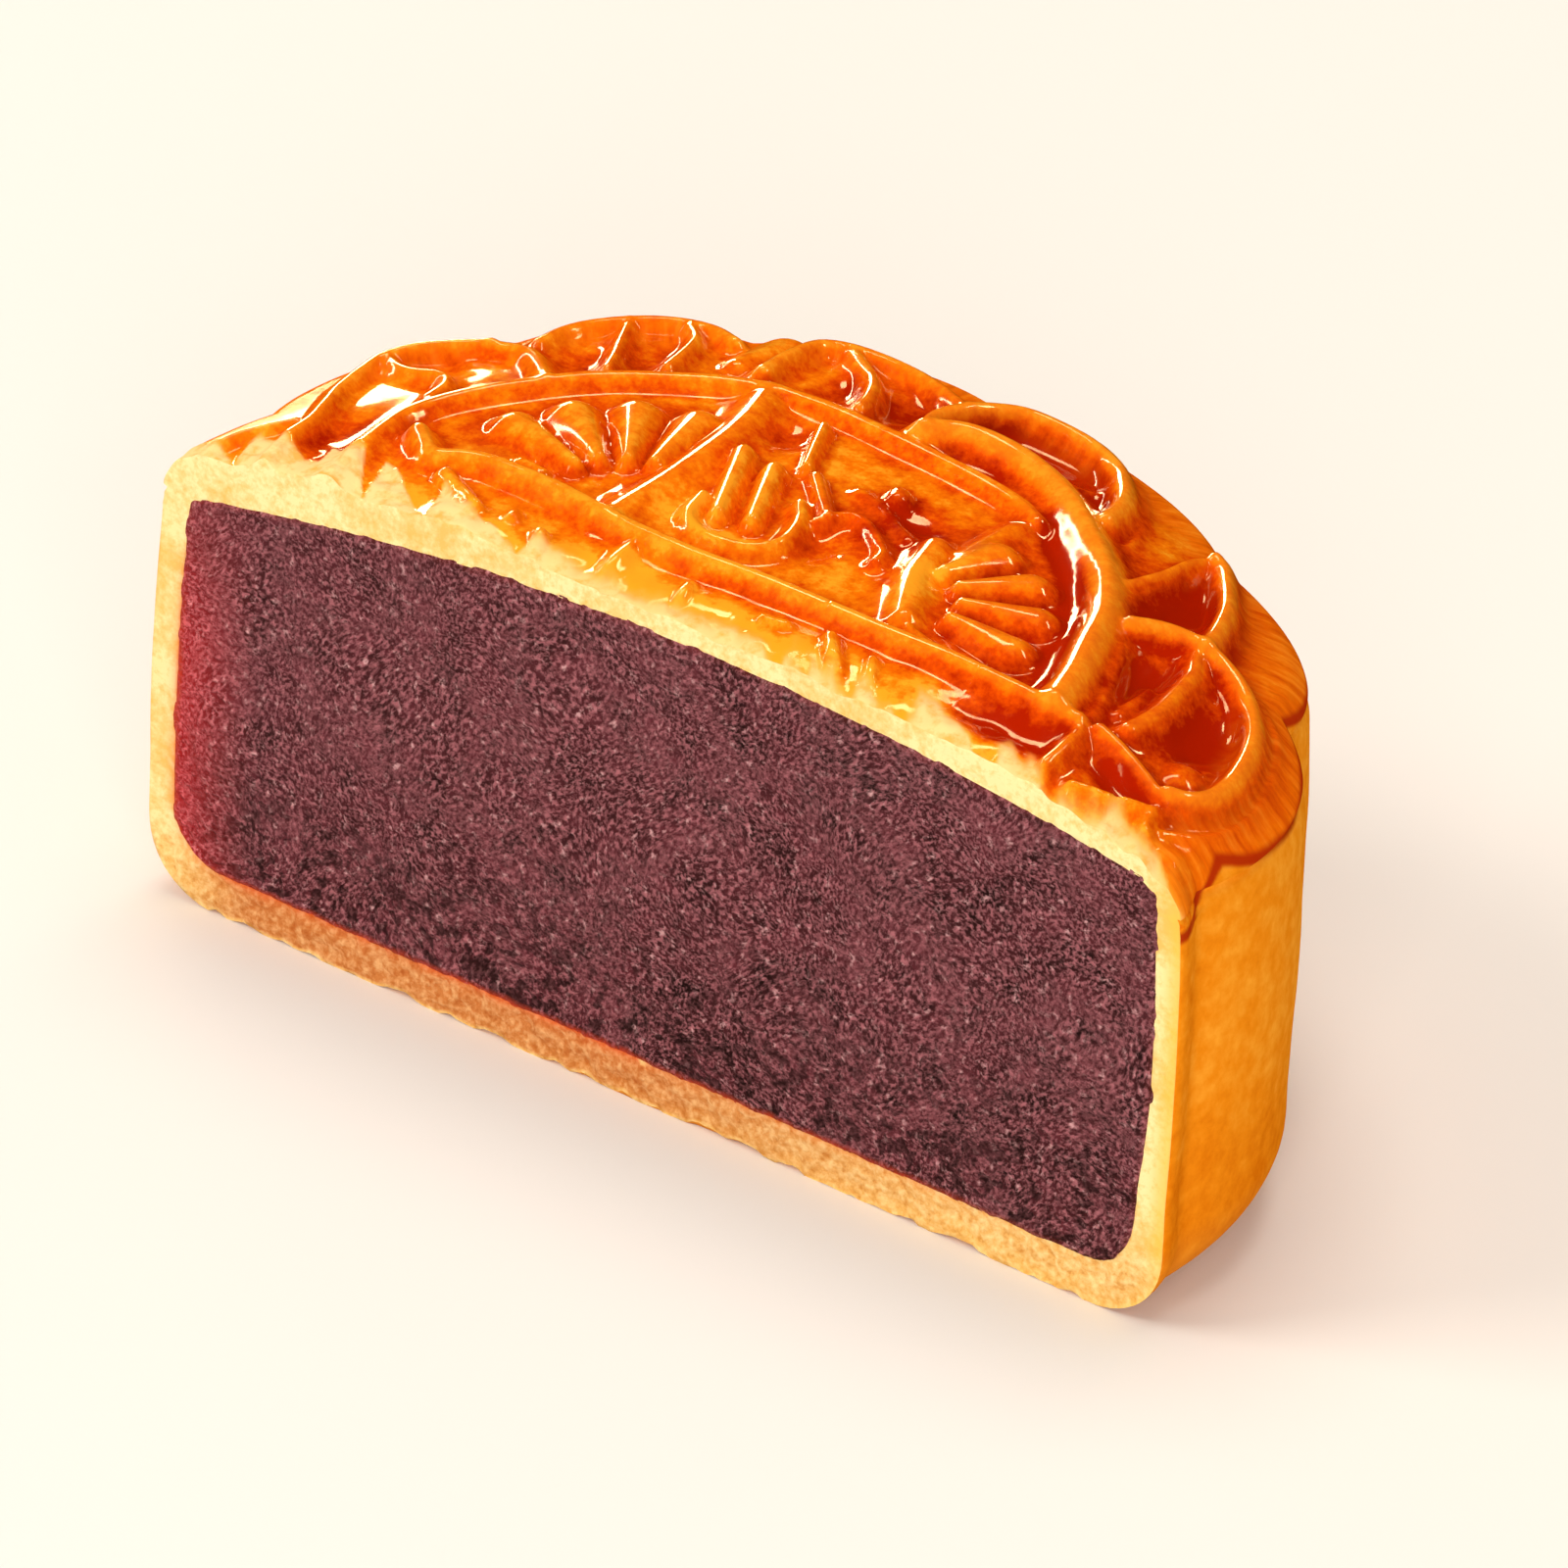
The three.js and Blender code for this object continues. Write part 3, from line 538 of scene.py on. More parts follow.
# Rows of skin from the middle of the base, out, up the wall and in to the middle of the top.
# Each row runs round the half from its right end of the cut to its left end.
def skinRows():
    blocks, low, top = [], [], []

    def addRow(x, y, z, lowShare=0.0, onTop=False):
        blocks.append(np.stack([x, y, z], 1))
        low.append(np.full(x.shape, lowShare))
        top.append(np.full(x.shape, onTop))

    # base
    phi = np.linspace(0, 180, fineness["roundBase"] + 1)
    corner = cake["cornerRadius"]
    edgeX, edgeY = reachOut(phi, lambda a: wallRadius(a, corner, 0) - corner)
    for i in range(fineness["baseRows"] + 1):
        t = i / fineness["baseRows"]
        x, y = edgeX * t, cutY + (edgeY - cutY) * t
        chip = sum(deep * np.clip(noise(x, 0, 0, size, seed) + common, 0, 1)
                   for deep, common, size, seed in crustMarks["chips"])
        z = np.where((phi < 1) | (phi > 179), chip * smoothStep(t, 0, 0.05), 0)  # only at the cut
        addRow(x, y, z, lowShare=1.0)

    # rounded corner and wall
    phi = sweep(fineness["roundWall"])
    for turn in np.linspace(0, math.pi / 2, fineness["corner"])[1:]:
        share = turn / (math.pi / 2)
        x, y = reachOut(phi, lambda a: wallRadius(a, corner, share) - corner * (1 - math.sin(turn)))
        addRow(x, y, np.full(x.shape, corner * (1 - math.cos(turn))), lowShare=1 - share)
    wallTop = cake["rimHeight"] - fineness["wallEnd"]
    for height in np.arange(corner + fineness["wall"], wallTop, fineness["wall"]):
        x, y = reachOut(phi, lambda a: wallRadius(a, height))
        rise = rimAt(np.degrees(np.arctan2(y, x))) - cake["rimHeight"]
        scale = 1 + unevenAt("wall", x, y, height) * smoothStep(height, 6, 9) / np.hypot(x, y)
        atCut = (phi < 0.01) | (phi > 179.99)
        z = height + rise * smoothStep(height, cake["draftStart"], wallTop)
        addRow(x * scale, np.where(atCut, y, y * scale), z)

    # crease under the rim, then the roll on to the top
    phi = sweep(fineness["round"])
    for below, inset in crustMarks["crease"]:
        x, y = reachOut(phi, lambda a: wallRadius(a, cake["rimHeight"]) - inset)
        addRow(x, y, rimAt(np.degrees(np.arctan2(y, x))) - below)
    rollStart, rollDepth = crustMarks["roll"]
    for turn in np.linspace(0, math.pi / 2, fineness["roll"])[1:]:
        inset = rollStart + rollDepth * (1 - math.cos(turn))
        x, y = reachOut(phi, lambda a: wallRadius(a, cake["rimHeight"]) - inset)
        rim = rimAt(np.degrees(np.arctan2(y, x)))
        addRow(x, y, rim + (crownAt(x, y) - rim) * math.sin(turn), onTop=True)

    # top, with fewer points the nearer to the middle
    rollX, rollY, rollPhi = x, y, phi  # the last row of the roll
    distance = crustMarks["topReach"]
    while distance > 0:
        distance = max(0, distance - fineness["top"])
        divide = 1 if distance > 20 else 2 if distance > 10 else 4 if distance > 4 else 8
        phi = sweep(fineness["round"] // divide)
        t = distance / crustMarks["topReach"]
        x = np.interp(phi, rollPhi, rollX) * t
        y = cutY + (np.interp(phi, rollPhi, rollY) - cutY) * t
        addRow(x, y, crownAt(x, y), onTop=True)
    ends = np.cumsum([0] + [len(row) for row in blocks])
    rows = [np.arange(first, last) for first, last in zip(ends[:-1], ends[1:])]
    return rows, np.concatenate(blocks), np.concatenate(low), np.concatenate(top)


# Presses the pattern into the top and tears it at the cut, and returns the marks on the skin
def shapeSkin(points, low, top):
    x, y, z = points.T
    angle = np.degrees(np.arctan2(y, x))
    away = np.hypot(x, y)
    fromRim = wallRadius(angle, cake["rimHeight"]) - away
    behind = y - cutY
    left = leftShare(x)
    torn, inCrumb = tornAt(x, behind)
    torn = torn * top
    risen, wide, bowl, crease = np.zeros((4, len(points)))
    risen[top] = reliefAt(x[top], y[top])
    wide[top] = reliefAt(x[top], y[top], crustMarks["wider"])
    bowl[top], crease[top] = hollowAt(x[top], y[top])
    edgeFade = smoothStep(fromRim, 0.1, 1.6)
    risen *= edgeFade * (1 - torn * (0.85 - 0.5 * left))
    shareUp = np.clip(risen / crustMarks["fullRise"], 0, 1.1)
    bowl *= np.clip(1 - shareUp, 0, 1)
    pressed, pressedWidth = crustMarks["shoulder"]
    shoulder = pressed * np.clip(1 - behind / pressedWidth, 0, 1) ** 2 * (1 - 0.6 * left)
    nearCut = smoothStep(-behind, -5.5, -2.0) * (1 - 0.6 * shareUp)
    wave = unevenAt("floor", x, y, 0) + nearCut * unevenAt("besideCut", x, y, 0)
    crumbly = torn * (0.05 + unevenAt("tornCrumb", x, y, 0))
    points[:, 2] += top * (risen - shoulder + edgeFade * (wave - bowl) + crumbly)

    # the glaze is darker and redder in hollows, beside ridges, in the bowls and along the crease, partly
    # glaze that pooled there and partly painted shade of those hollows; it is redder towards the right and
    # thin beside the torn edge
    right = 0.7 * smoothStep(x, 12, 28) + 0.3 * smoothStep(x, -10, 15)
    valleyPoolAndShade = np.clip(wide / crustMarks["fullRise"], 0, 1) * np.clip(1 - shareUp, 0, 1) ** 1.3
    poolAndShade = valleyPoolAndShade * (0.9 + 0.35 * right) + bowl * (0.9 + 0.4 * right) + 0.7 * crease + 0.2 * right - 0.1
    poolAndShade -= 0.55 * np.exp(-np.clip(-inCrumb, 0, 9) / 1.2) * (1 - 0.6 * left) * (1 - bowl)
    # yellow spots of thin glaze and painted highlight, red spots of pooled glaze and painted shade
    for middleX, middleY, radiusX, radiusY, much in tints:
        poolAndShade -= much * np.exp(-((x - middleX) / radiusX) ** 2 - ((y - middleY) / radiusY) ** 2)

    # it ran a little over the rim, most beside the right end of the cut
    groove = lobePhase(angle - 3.5 * smoothStep(-angle, -14, -6))
    run, lessInGroove, moreAtCut = crustMarks["run"]
    run = run - lessInGroove * groove ** 3 + unevenAt("glazeFoot", x, y, 0)
    run += moreAtCut * smoothStep(-angle, -5, 0)
    marks = {
        "poolAndShade": poolAndShade * top,
        "crest": shareUp * top,
        "bare": torn,
        "smear": np.exp(-np.clip(inCrumb, 0, 9) / 0.7) * (1 - 0.75 * left) * top,
        "foot": np.where(top & (fromRim > 1.6), 5.0, np.clip(z - rimAt(angle) + run, -5, 5)),
        "rimLine": 0.5 + 0.5 * smoothStep(x, -5, 30),
        "ledge": smoothStep(away, *crustMarks["ledge"]) * (1 - shareUp) * top,
        "turn": np.radians(angle) * cake["crestRadius"],
        "reach": away,
        "low": low,
    }
    inward, inwardWidth = crustMarks["rounded"]
    rounded = inward * np.clip(1 - behind / inwardWidth, 0, 1) ** 2
    points[:, 0] -= np.sign(x) * rounded * smoothStep(z, 1, 6) * (1 - smoothStep(z, 28, 31))
    return marks


# The cut crust at both ends of the rows, from its outline to the pocket that holds the paste, and
# the pocket between them, as columns with a point for each row
def cutColumns(rightOutline, leftOutline):
    blocks, marks = [], {name: [] for name in markNames}
    inner = {}
    for side, outline in ((1, rightOutline), (-1, leftOutline)):
        line = resample(pasteOutline(side, 0.15), spacing=0.02)
        nearest = [int(np.argmin((line[:, 0] - x) ** 2 + (line[:, 1] - z) ** 2)) for x, _, z in outline]
        nearest = np.maximum.accumulate(nearest)
        nearest[0], nearest[-1] = 0, len(line) - 1
        inner[side] = line[nearest]

    def addColumn(x, y, z, **given):
        blocks.append(np.stack([x, y, z], 1))
        for name in markNames:
            marks[name].append(np.broadcast_to(given.get(name, 0.0), x.shape))

    def addBand(side, outline, steps):
        thick = np.hypot(outline[:, 0] - inner[side][:, 0], outline[:, 2] - inner[side][:, 1])
        pitDepth, pitSize, rare, seed = crustMarks["pits"]
        for k in steps:
            t = k / fineness["band"]
            x = outline[:, 0] * (1 - t) + inner[side][:, 0] * t
            z = outline[:, 2] * (1 - t) + inner[side][:, 1] * t
            low = smoothStep(-z, -6.5, -2.5)
            pits = pitDepth * np.clip(noise(x, 0, z, pitSize, seed) - rare, 0, 1)
            dent = unevenAt("cutCrumb", x, 0, z) * (1 - low) + (unevenAt("cutBottom", x, 0, z) + pits) * low
            dent = dent * math.sin(math.pi * min(t * 1.6, 0.5)) * (t < 0.99)
            stain = crustMarks["stain"][side] * np.exp(-(1 - t) * thick / crustMarks["stainWidth"])
            stain = stain * (1 - smoothStep(z, 20, 30)) * (1 - smoothStep(x, 20, 33))
            brown = (1 - 0.85 * smoothStep(x, -4, 28)) * smoothStep(x, -39, -31)
            addColumn(x, cutY - dent, z, depth=t * thick, low=low, brown=brown, stain=stain)

    addBand(-1, leftOutline, range(1, fineness["band"] + 1))
    for k in range(1, fineness["pocket"]):
        share = k / fineness["pocket"]
        turn = math.pi * (1 - share)
        radius = -inner[-1][:, 0] * (1 - share) + inner[1][:, 0] * share
        z = inner[-1][:, 1] * (1 - share) + inner[1][:, 1] * share
        addColumn(radius * math.cos(turn), radius * math.sin(turn) + cutY, z, depth=9.0)
    addBand(1, rightOutline, range(fineness["band"], 0, -1))
    return blocks, marks


def buildCrust():
    rows, points, low, top = skinRows()
    marks = shapeSkin(points, low, top)
    firsts, lasts = [row[0] for row in rows], [row[-1] for row in rows]
    columns, cutMarks = cutColumns(points[firsts], points[lasts])
    loops = []
    for i, row in enumerate(rows):
        inColumns = len(points) + i + len(rows) * np.arange(len(columns))
        loops.append(np.concatenate([row[-1:], inColumns, row[:1]]))
    faces, numbers = [], []
    for i in range(len(rows) - 1):
        skin, cut = strip(rows[i], rows[i + 1]), strip(loops[i], loops[i + 1])
        faces += skin + cut
        numbers += [0] * len(skin) + [1] * len(cut)
    blank = np.zeros(len(points))
    values = {name: np.concatenate([marks.get(name, blank), *cutMarks[name]]) for name in markNames}
    allPoints = np.concatenate([points, *columns])
    return makeMesh("mooncakeCrust", allPoints, faces, numbers, values, fineness["sharp"])


# The paste: a granular face at the cut, and its plain hidden side, in mm
paste = {
    "proud": 0.1,  # the face stands this far out of the crust's cut
    "lip": 0.24,  # its ragged edge reaches this far over the crust
    "ragged": 0.8,  # how far in from the edge that is felt
    "edgeDrop": (0.12, 0.4),  # the edge falls back by this much, over this width
    "grain": 0.13,  # depth of the grain
    "pits": (1.5, 1.0, 0.5, 46),  # depth in grains, size, how rare, seed
    "slanted": (0.55, 0.42, 1.7, 43),  # grain drawn out by the knife: how much, size, stretch, seed
    "swing": (0.35, 6, 49),  # that wanders by this much, over this size, seed
    "width": 75,  # the face, for measuring from its edges
    "height": 30,
    "middle": 17,  # height of its middle
    "far": 30.0,  # what the hidden side has for a distance from an edge
    "hiddenInset": 0.2,  # the hidden side stays this far off the crust
    "hiddenScale": 0.985,
    "across": 341,  # points across the face
    "up": 137,  # and up it
    "back": 24,  # steps round the hidden side
    "sharp": 75,  # degrees from which an edge shows as one
}


# Bottom, side and top of the face on the side of +X or -X
def pasteFrame(side):
    line = resample(pasteOutline(side, paste["lip"]), spacing=0.05)
    reach = np.abs(line[:, 0])
    low, high = int(np.argmax(reach - line[:, 1])), int(np.argmax(reach + 1.6 * line[:, 1]))
    half = paste["across"] // 2 + 1
    return (resample(line[:low + 1], count=half), resample(line[low:high + 1], count=paste["up"]),
            resample(line[high:], count=half))


def buildPaste():
    leftBottom, left, leftTop = pasteFrame(-1)
    rightBottom, right, rightTop = pasteFrame(1)
    bottom = np.concatenate([leftBottom[::-1], rightBottom[1:]])
    top = np.concatenate([leftTop, rightTop[::-1][1:]])
    u = np.linspace(0, 1, len(bottom))[None, :, None]
    v = np.linspace(0, 1, len(left))[:, None, None]
    flat = (1 - v) * bottom[None] + v * top[None] + (1 - u) * left[:, None] + u * right[:, None]
    flat = flat - ((1 - u) * (1 - v) * bottom[0] + u * (1 - v) * bottom[-1]
                   + (1 - u) * v * top[0] + u * v * top[-1])
    x, z = flat[..., 0], flat[..., 1]
    fromLeft = np.broadcast_to(u[..., 0] * paste["width"], x.shape)
    fromBottom = np.broadcast_to(v[..., 0] * paste["height"], x.shape)
    edge = np.minimum(np.minimum(fromLeft, paste["width"] - fromLeft),
                      np.minimum(fromBottom, paste["height"] - fromBottom))
    outward = unevenAt("pasteEdge", x, 0, z) * np.exp(-(edge / paste["ragged"]) ** 2)
    outward = outward / np.hypot(x, z - paste["middle"])
    x, z = x + outward * x, z + outward * (z - paste["middle"])
    much, size, seed = paste["swing"]
    swing = much * noise(x, 2, z, size, seed)
    slantX, slantZ = x * 0.8 + z * 0.45 + swing, z * 0.9 - x * 0.42
    much, size, stretch, seed = paste["slanted"]
    grain = much * noise(slantX / stretch, 0, slantZ, size, seed) + unevenAt("pasteGrain", x, 0, z)
    much, size, rare, seed = paste["pits"]
    pits = -much * np.clip(noise(x, 0, z, size, seed) - rare, 0, 1)
    y = cutY - paste["proud"] - paste["grain"] * (grain + pits) * np.clip(edge / 0.5, 0, 1)
    drop, dropWidth = paste["edgeDrop"]
    y += drop * np.clip(1 - edge / dropWidth, 0, 1)
    face = np.stack([x.ravel(), y.ravel(), z.ravel()], 1)
    grid = np.arange(x.size).reshape(x.shape)
    quads = np.stack([grid[:-1, :-1], grid[:-1, 1:], grid[1:, 1:], grid[1:, :-1]], -1)
    faces = quads.reshape(-1, 4).tolist()

    # the hidden side sweeps from the right half of the face's outline round to its left half
    mid = x.shape[1] // 2
    rightLine = [*grid[0, mid:], *grid[1:, -1], *grid[-1, mid:-1][::-1]]
    leftLine = [*grid[0, :mid + 1][::-1], *grid[1:, 0], *grid[-1, 1:mid + 1]]
    start, end = face[rightLine], face[leftLine]
    blocks, lines = [face], [np.array(rightLine)]
    for k in range(1, paste["back"]):
        share = k / paste["back"]
        turn = math.pi * share
        radius = np.abs(start[:, 0]) * (1 - share) + np.abs(end[:, 0]) * share - paste["hiddenInset"]
        height = start[:, 2] * (1 - share) + end[:, 2] * share
        height = paste["middle"] + (height - paste["middle"]) * paste["hiddenScale"]
        backward = radius * math.sin(turn) + cutY + paste["hiddenInset"]
        first = sum(len(points) for points in blocks)
        blocks.append(np.stack([radius * math.cos(turn), backward, height], 1))
        lines.append(np.arange(first, first + len(start)))
    lines.append(np.array(leftLine))
    for low, high in zip(lines[:-1], lines[1:]):
        faces += np.stack([low[:-1], high[:-1], high[1:], low[1:]], 1).tolist()
    points = np.concatenate(blocks)
    hidden = np.ones(len(points) - len(face))
    far = paste["far"]
    marks = {
        "grain": np.concatenate([grain.ravel(), 0 * hidden]),
        "fromLeft": np.concatenate([np.minimum(fromLeft, far).ravel(), far * hidden]),
        "fromBottom": np.concatenate([fromBottom.ravel(), far * hidden]),
        "fromEdge": np.concatenate([edge.ravel(), far * hidden]),
    }
    return makeMesh("beanPaste", points, faces, [0] * len(faces), marks, paste["sharp"])


crustPiece = buildCrust()
print("stage: crust", len(crustPiece.data.polygons), "faces")
pastePiece = buildPaste()
print("stage: paste", len(pastePiece.data.polygons), "faces")

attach(crustPiece, "root")
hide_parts("crust")
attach(pastePiece, "root")
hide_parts("filling")


# A #RRGGBB colour as the linear values that a shader takes
def hexColour(text):
    channels = [int(text[i:i + 2], 16) / 255 for i in (1, 3, 5)]
    linear = [c / 12.92 if c <= 0.04045 else ((c + 0.055) / 1.055) ** 2.4 for c in channels]
    return (*linear, 1.0)


# Adds a node with its settings, and its stops if it is a colour ramp, and gives one of its outputs.
# Each input is a number, a colour as #RRGGBB or what another call gave. They come by name, or in
# the order that the node shows: a noise has place, scale, detail and roughness, a map range has
# a value, its two limits and what they become, a mix has the share of its second value, then both.
def addNode(tree, kind, inputs=(), output=None, stops=(), **settings):
    node = tree.nodes.new("ShaderNode" + kind)
    for key, value in settings.items():
        setattr(node, key, value)
    if not isinstance(inputs, dict):
        inputs = dict(zip([i for i, socket in enumerate(node.inputs) if socket.enabled], inputs))
    for key, value in inputs.items():
        if isinstance(value, bpy.types.NodeSocket):
            tree.links.new(value, node.inputs[key])
        else:
            node.inputs[key].default_value = hexColour(value) if isinstance(value, str) else value
    while stops and len(node.color_ramp.elements) < len(stops):
        node.color_ramp.elements.new(0.5)
    for i, (position, colour) in enumerate(stops):
        node.color_ramp.elements[i].position = position
        node.color_ramp.elements[i].color = hexColour(colour)
    shown = [socket for socket in node.outputs if socket.enabled]
    return node.outputs[output] if output else shown[0] if shown else None


# A new material, what adds its nodes, and what they start from: the place on the piece, then the
# marks of its mesh and its noises, each with a scale in 1/m, a detail and perhaps a roughness
def newMaterial(name, marks=(), noises=None):
    material = bpy.data.materials.new(name)
    material.use_nodes = True
    material.node_tree.nodes.clear()
    add = partial(addNode, material.node_tree)
    place = add("TexCoord", output="Object")
    sources = [add("Attribute", output="Fac", attribute_name=mark) for mark in marks]
    sources += [add("TexNoise", (place, *noise)) for noise in (noises or {}).values()]
    return material, add, place, sources


# Wheat crust, brushed with egg yolk and baked: the yolk gives a deep orange film that is darker where it
# pooled, with painted shade darkening it further in the hollows, and shines like lacquer, and the bare wall
# below stays satin and golden
skinLook = {
    "glaze": [(0.0, "#F8A020"), (0.25, "#EE7806"), (0.6, "#D84802"), (1.0, "#A81C00")],
    "crest": "#F0821A",
    "crestShare": 0.5,
    "ledge": [(0.34, "#C84A04"), (0.5, "#E66606"), (0.68, "#F4861C")],  # the plain rim of the top
    "ledgeShare": 0.75,
    "crumb": [(0.34, "#EFAE56"), (0.52, "#F6D08C")],  # bare crumb beside the cut
    "smear": "#F29C30",
    "wall": [(0.36, "#F6A22E"), (0.5, "#EC8A14"), (0.64, "#DC7408")],
    "bottom": "#D98A34",
    "rimLine": "#AC2A06",  # the glaze dried darker where it ends on the wall
    "lineAbove": 0.3,  # the middle of that line is this many mm above the glaze's end
    "deeper": 0.18,  # added to the depth of the glaze all over
    "glazeRoughness": 0.32,
    "wallRoughness": 0.5,
    "coat": 0.9,
    "coatRoughness": 0.085,
    "dryLedge": 0.85,  # share of the coat that the plain rim lacks
    "noises": {
        "mottle": (800.0, 4, 0.6),  # spots of about 1.1 mm
        "fine": (2600.0, 3, 0.6),  # and of about 0.4 mm
        "cloud": (70.0, 2),  # the oven browned the wall in clouds of about 14 mm
        "brushed": (420.0, 3, 0.65),  # the yolk was brushed on unevenly, in patches of about 2 mm
    },
    "cloudShare": 0.55,
    "strokes": (1.1, 3, 0.6),  # the brush left strokes of about 0.9 mm on the rim; scale in 1/mm
    "strokeLength": 5.0,  # times as long as wide
    "bump": (0.25, 0.0001),  # strength, and height in m
}


def skinMaterial():
    look = skinLook
    marks = ("poolAndShade", "crest", "foot", "bare", "smear", "rimLine", "ledge", "low", "reach", "turn")
    material, add, _, sources = newMaterial("yolkGlazedCrust", marks, look["noises"])
    poolAndShade, crest, foot, bare, smear, rimLine, ledge, low, reach, turn, mottle, fine, cloud, brushed = sources

    # the film of glaze, with paler crests and brush strokes on the plain rim
    spread = add("MapRange", (mottle, 0.3, 0.7, -0.22, 0.22))
    grain = add("MapRange", (fine, 0.3, 0.7, -0.12, 0.12))
    # the film deepens where the glaze pooled and where the shade of the hollows is painted in
    thick = add("Math", (poolAndShade, spread), operation="ADD")
    thick = add("Math", (thick, grain), operation="ADD")
    thick = add("Math", (thick, look["deeper"]), operation="ADD", use_clamp=True)
    film = add("ValToRGB", (thick,), stops=look["glaze"])
    crestShare = add("MapRange", (crest, 0.55, 1.05, 0, look["crestShare"]))
    outward = add("Math", (reach, 1 / look["strokeLength"]), operation="MULTIPLY")
    strokes = add("CombineXYZ", (turn, outward))
    strokes = add("TexNoise", (strokes, *look["strokes"]))
    rim = add("ValToRGB", (strokes,), stops=look["ledge"])
    rimShare = add("Math", (ledge, look["ledgeShare"]), operation="MULTIPLY")

    # bare crumb beside the cut, with some glaze smeared over it
    crumb = add("ValToRGB", (mottle,), stops=look["crumb"])
    share = add("MapRange", (mottle, 0.3, 0.6, 0.4, 0.95))
    share = add("Math", (share, smear), operation="MULTIPLY")
    crumb = add("Mix", (share, crumb, look["smear"]), data_type="RGBA")
    for share, over in ((crestShare, look["crest"]), (rimShare, rim), (bare, crumb)):
        film = add("Mix", (share, film, over), data_type="RGBA")

    # the wall below the glaze, and the line where the glaze ends
    cloud = add("Mix", (look["cloudShare"], mottle, cloud))
    wall = add("ValToRGB", (cloud,), stops=look["wall"])
    wall = add("Mix", (low, wall, look["bottom"]), data_type="RGBA")
    glazed = add("MapRange", (foot, -0.12, 0.08))
    colour = add("Mix", (glazed, wall, film), data_type="RGBA")
    line = add("Math", (foot, look["lineAbove"]), operation="SUBTRACT")
    line = add("Math", (line,), operation="ABSOLUTE")
    line = add("MapRange", (line, 0.12, 0.6, 0.95, 0), interpolation_type="SMOOTHSTEP")
    line = add("Math", (rimLine, line), operation="MULTIPLY")
    colour = add("Mix", (line, colour, look["rimLine"]), data_type="RGBA")

    # the shine of the glaze, less on the plain rim and where the brush left little
    wet = add("Math", (1, bare), operation="SUBTRACT", use_clamp=True)
    wetRim = add("Math", (ledge, -look["dryLedge"], 1), operation="MULTIPLY_ADD")
    for share in (glazed, wetRim):
        wet = add("Math", (wet, share), operation="MULTIPLY")
    brushed = add("MapRange", (brushed, 0.36, 0.56, 0.4, look["coat"]))
    coat = add("Math", (wet, brushed), operation="MULTIPLY")
    rough = add("MapRange", (wet, 0, 1, look["wallRoughness"], look["glazeRoughness"]))
    bump = add("Bump", {0: look["bump"][0], 1: look["bump"][1], "Height": fine})
    shader = add("BsdfPrincipled", {
        "Base Color": colour, "Roughness": rough, "IOR": 1.45, "Specular IOR Level": 0.0, "Normal": bump,
        "Coat Weight": coat, "Coat IOR": 1.5, "Coat Roughness": look["coatRoughness"],
    })
    add("OutputMaterial", (shader,))
    return material


# Cut crust: a short, fine, pale crumb with a golden skin from the oven along its outer edge, and
# coarser and browner along the bottom, where it stood on the hot tray
crumbLook = {
    "crumb": [(0.14, "#F4BC66"), (0.32, "#FBE2A4")],
    "bottom": [(0.30, "#B4602A"), (0.46, "#C87C42"), (0.68, "#E4AA70")],
    "paleBottom": [(0.28, "#DA9848"), (0.44, "#EEBC6C"), (0.66, "#F8DC98")],  # at its ends
    "skin": "#F8C048",
    "skinShare": 0.75,
    "skinDepth": 1.7,  # mm over which the skin fades into the crumb
    "stain": "#E0441C",  # oil and colour that the paste gave to the crumb
    "noises": {
        "soft": (260.0, 3),  # patches of about 4 mm
        "grain": (1700.0, 4, 0.7),  # crumbs of about 0.6 mm
        "coarse": (1700.0, 3, 0.6),
    },
    "pores": 1500.0,  # pores about 0.7 mm apart, in 1/m
    "bump": (0.4, 0.00012),  # strength, and height in m
}


def crumbMaterial():
    look = crumbLook
    marks = ("depth", "stain", "low", "brown")
    material, add, place, sources = newMaterial("cutShortCrumb", marks, look["noises"])
    depth, stain, low, brown, soft, grain, coarse = sources
    mixed = add("Math", (soft, grain), operation="MULTIPLY")
    crumb = add("ValToRGB", (mixed,), stops=look["crumb"])
    bottom = add("ValToRGB", (coarse,), stops=look["bottom"])
    paleBottom = add("ValToRGB", (coarse,), stops=look["paleBottom"])
    bottom = add("Mix", (brown, paleBottom, bottom), data_type="RGBA")
    colour = add("Mix", (low, crumb, bottom), data_type="RGBA")

    # the skin shows along the wall, more towards the right, and little along the bottom
    across = add("SeparateXYZ", (place,), output="X")
    height = add("SeparateXYZ", (place,), output="Z")
    skin = add("MapRange", (depth, 0, look["skinDepth"], look["skinShare"], 0),
               interpolation_type="SMOOTHSTEP")
    upper = add("MapRange", (height, 0.0290, 0.0315))
    below = add("Math", (1, upper), operation="SUBTRACT")
    short = add("Math", (low, -0.75, 1), operation="MULTIPLY_ADD", use_clamp=True)
    browner = add("MapRange", (across, -0.02, 0.03, 0.1))
    for share in (below, short, browner):
        skin = add("Math", (skin, share), operation="MULTIPLY")
    colour = add("Mix", (skin, colour, look["skin"]), data_type="RGBA")
    colour = add("Mix", (stain, colour, look["stain"]), data_type="RGBA")

    pores = add("TexVoronoi", {"Vector": place, "Scale": look["pores"], "Randomness": 1})
    pores = add("MapRange", (pores, 0, 0.35))
    rough = add("Math", (pores, grain), operation="ADD")
    rubble = add("Math", (coarse, low), operation="MULTIPLY")
    rough = add("Math", (rubble, 4, rough), operation="MULTIPLY_ADD")
    bump = add("Bump", {0: look["bump"][0], 1: look["bump"][1], "Height": rough})
    shader = add("BsdfPrincipled", {
        "Base Color": colour, "Roughness": 0.85, "IOR": 1.4, "Specular IOR Level": 0.1, "Normal": bump,
    })
    add("OutputMaterial", (shader,))
    return material
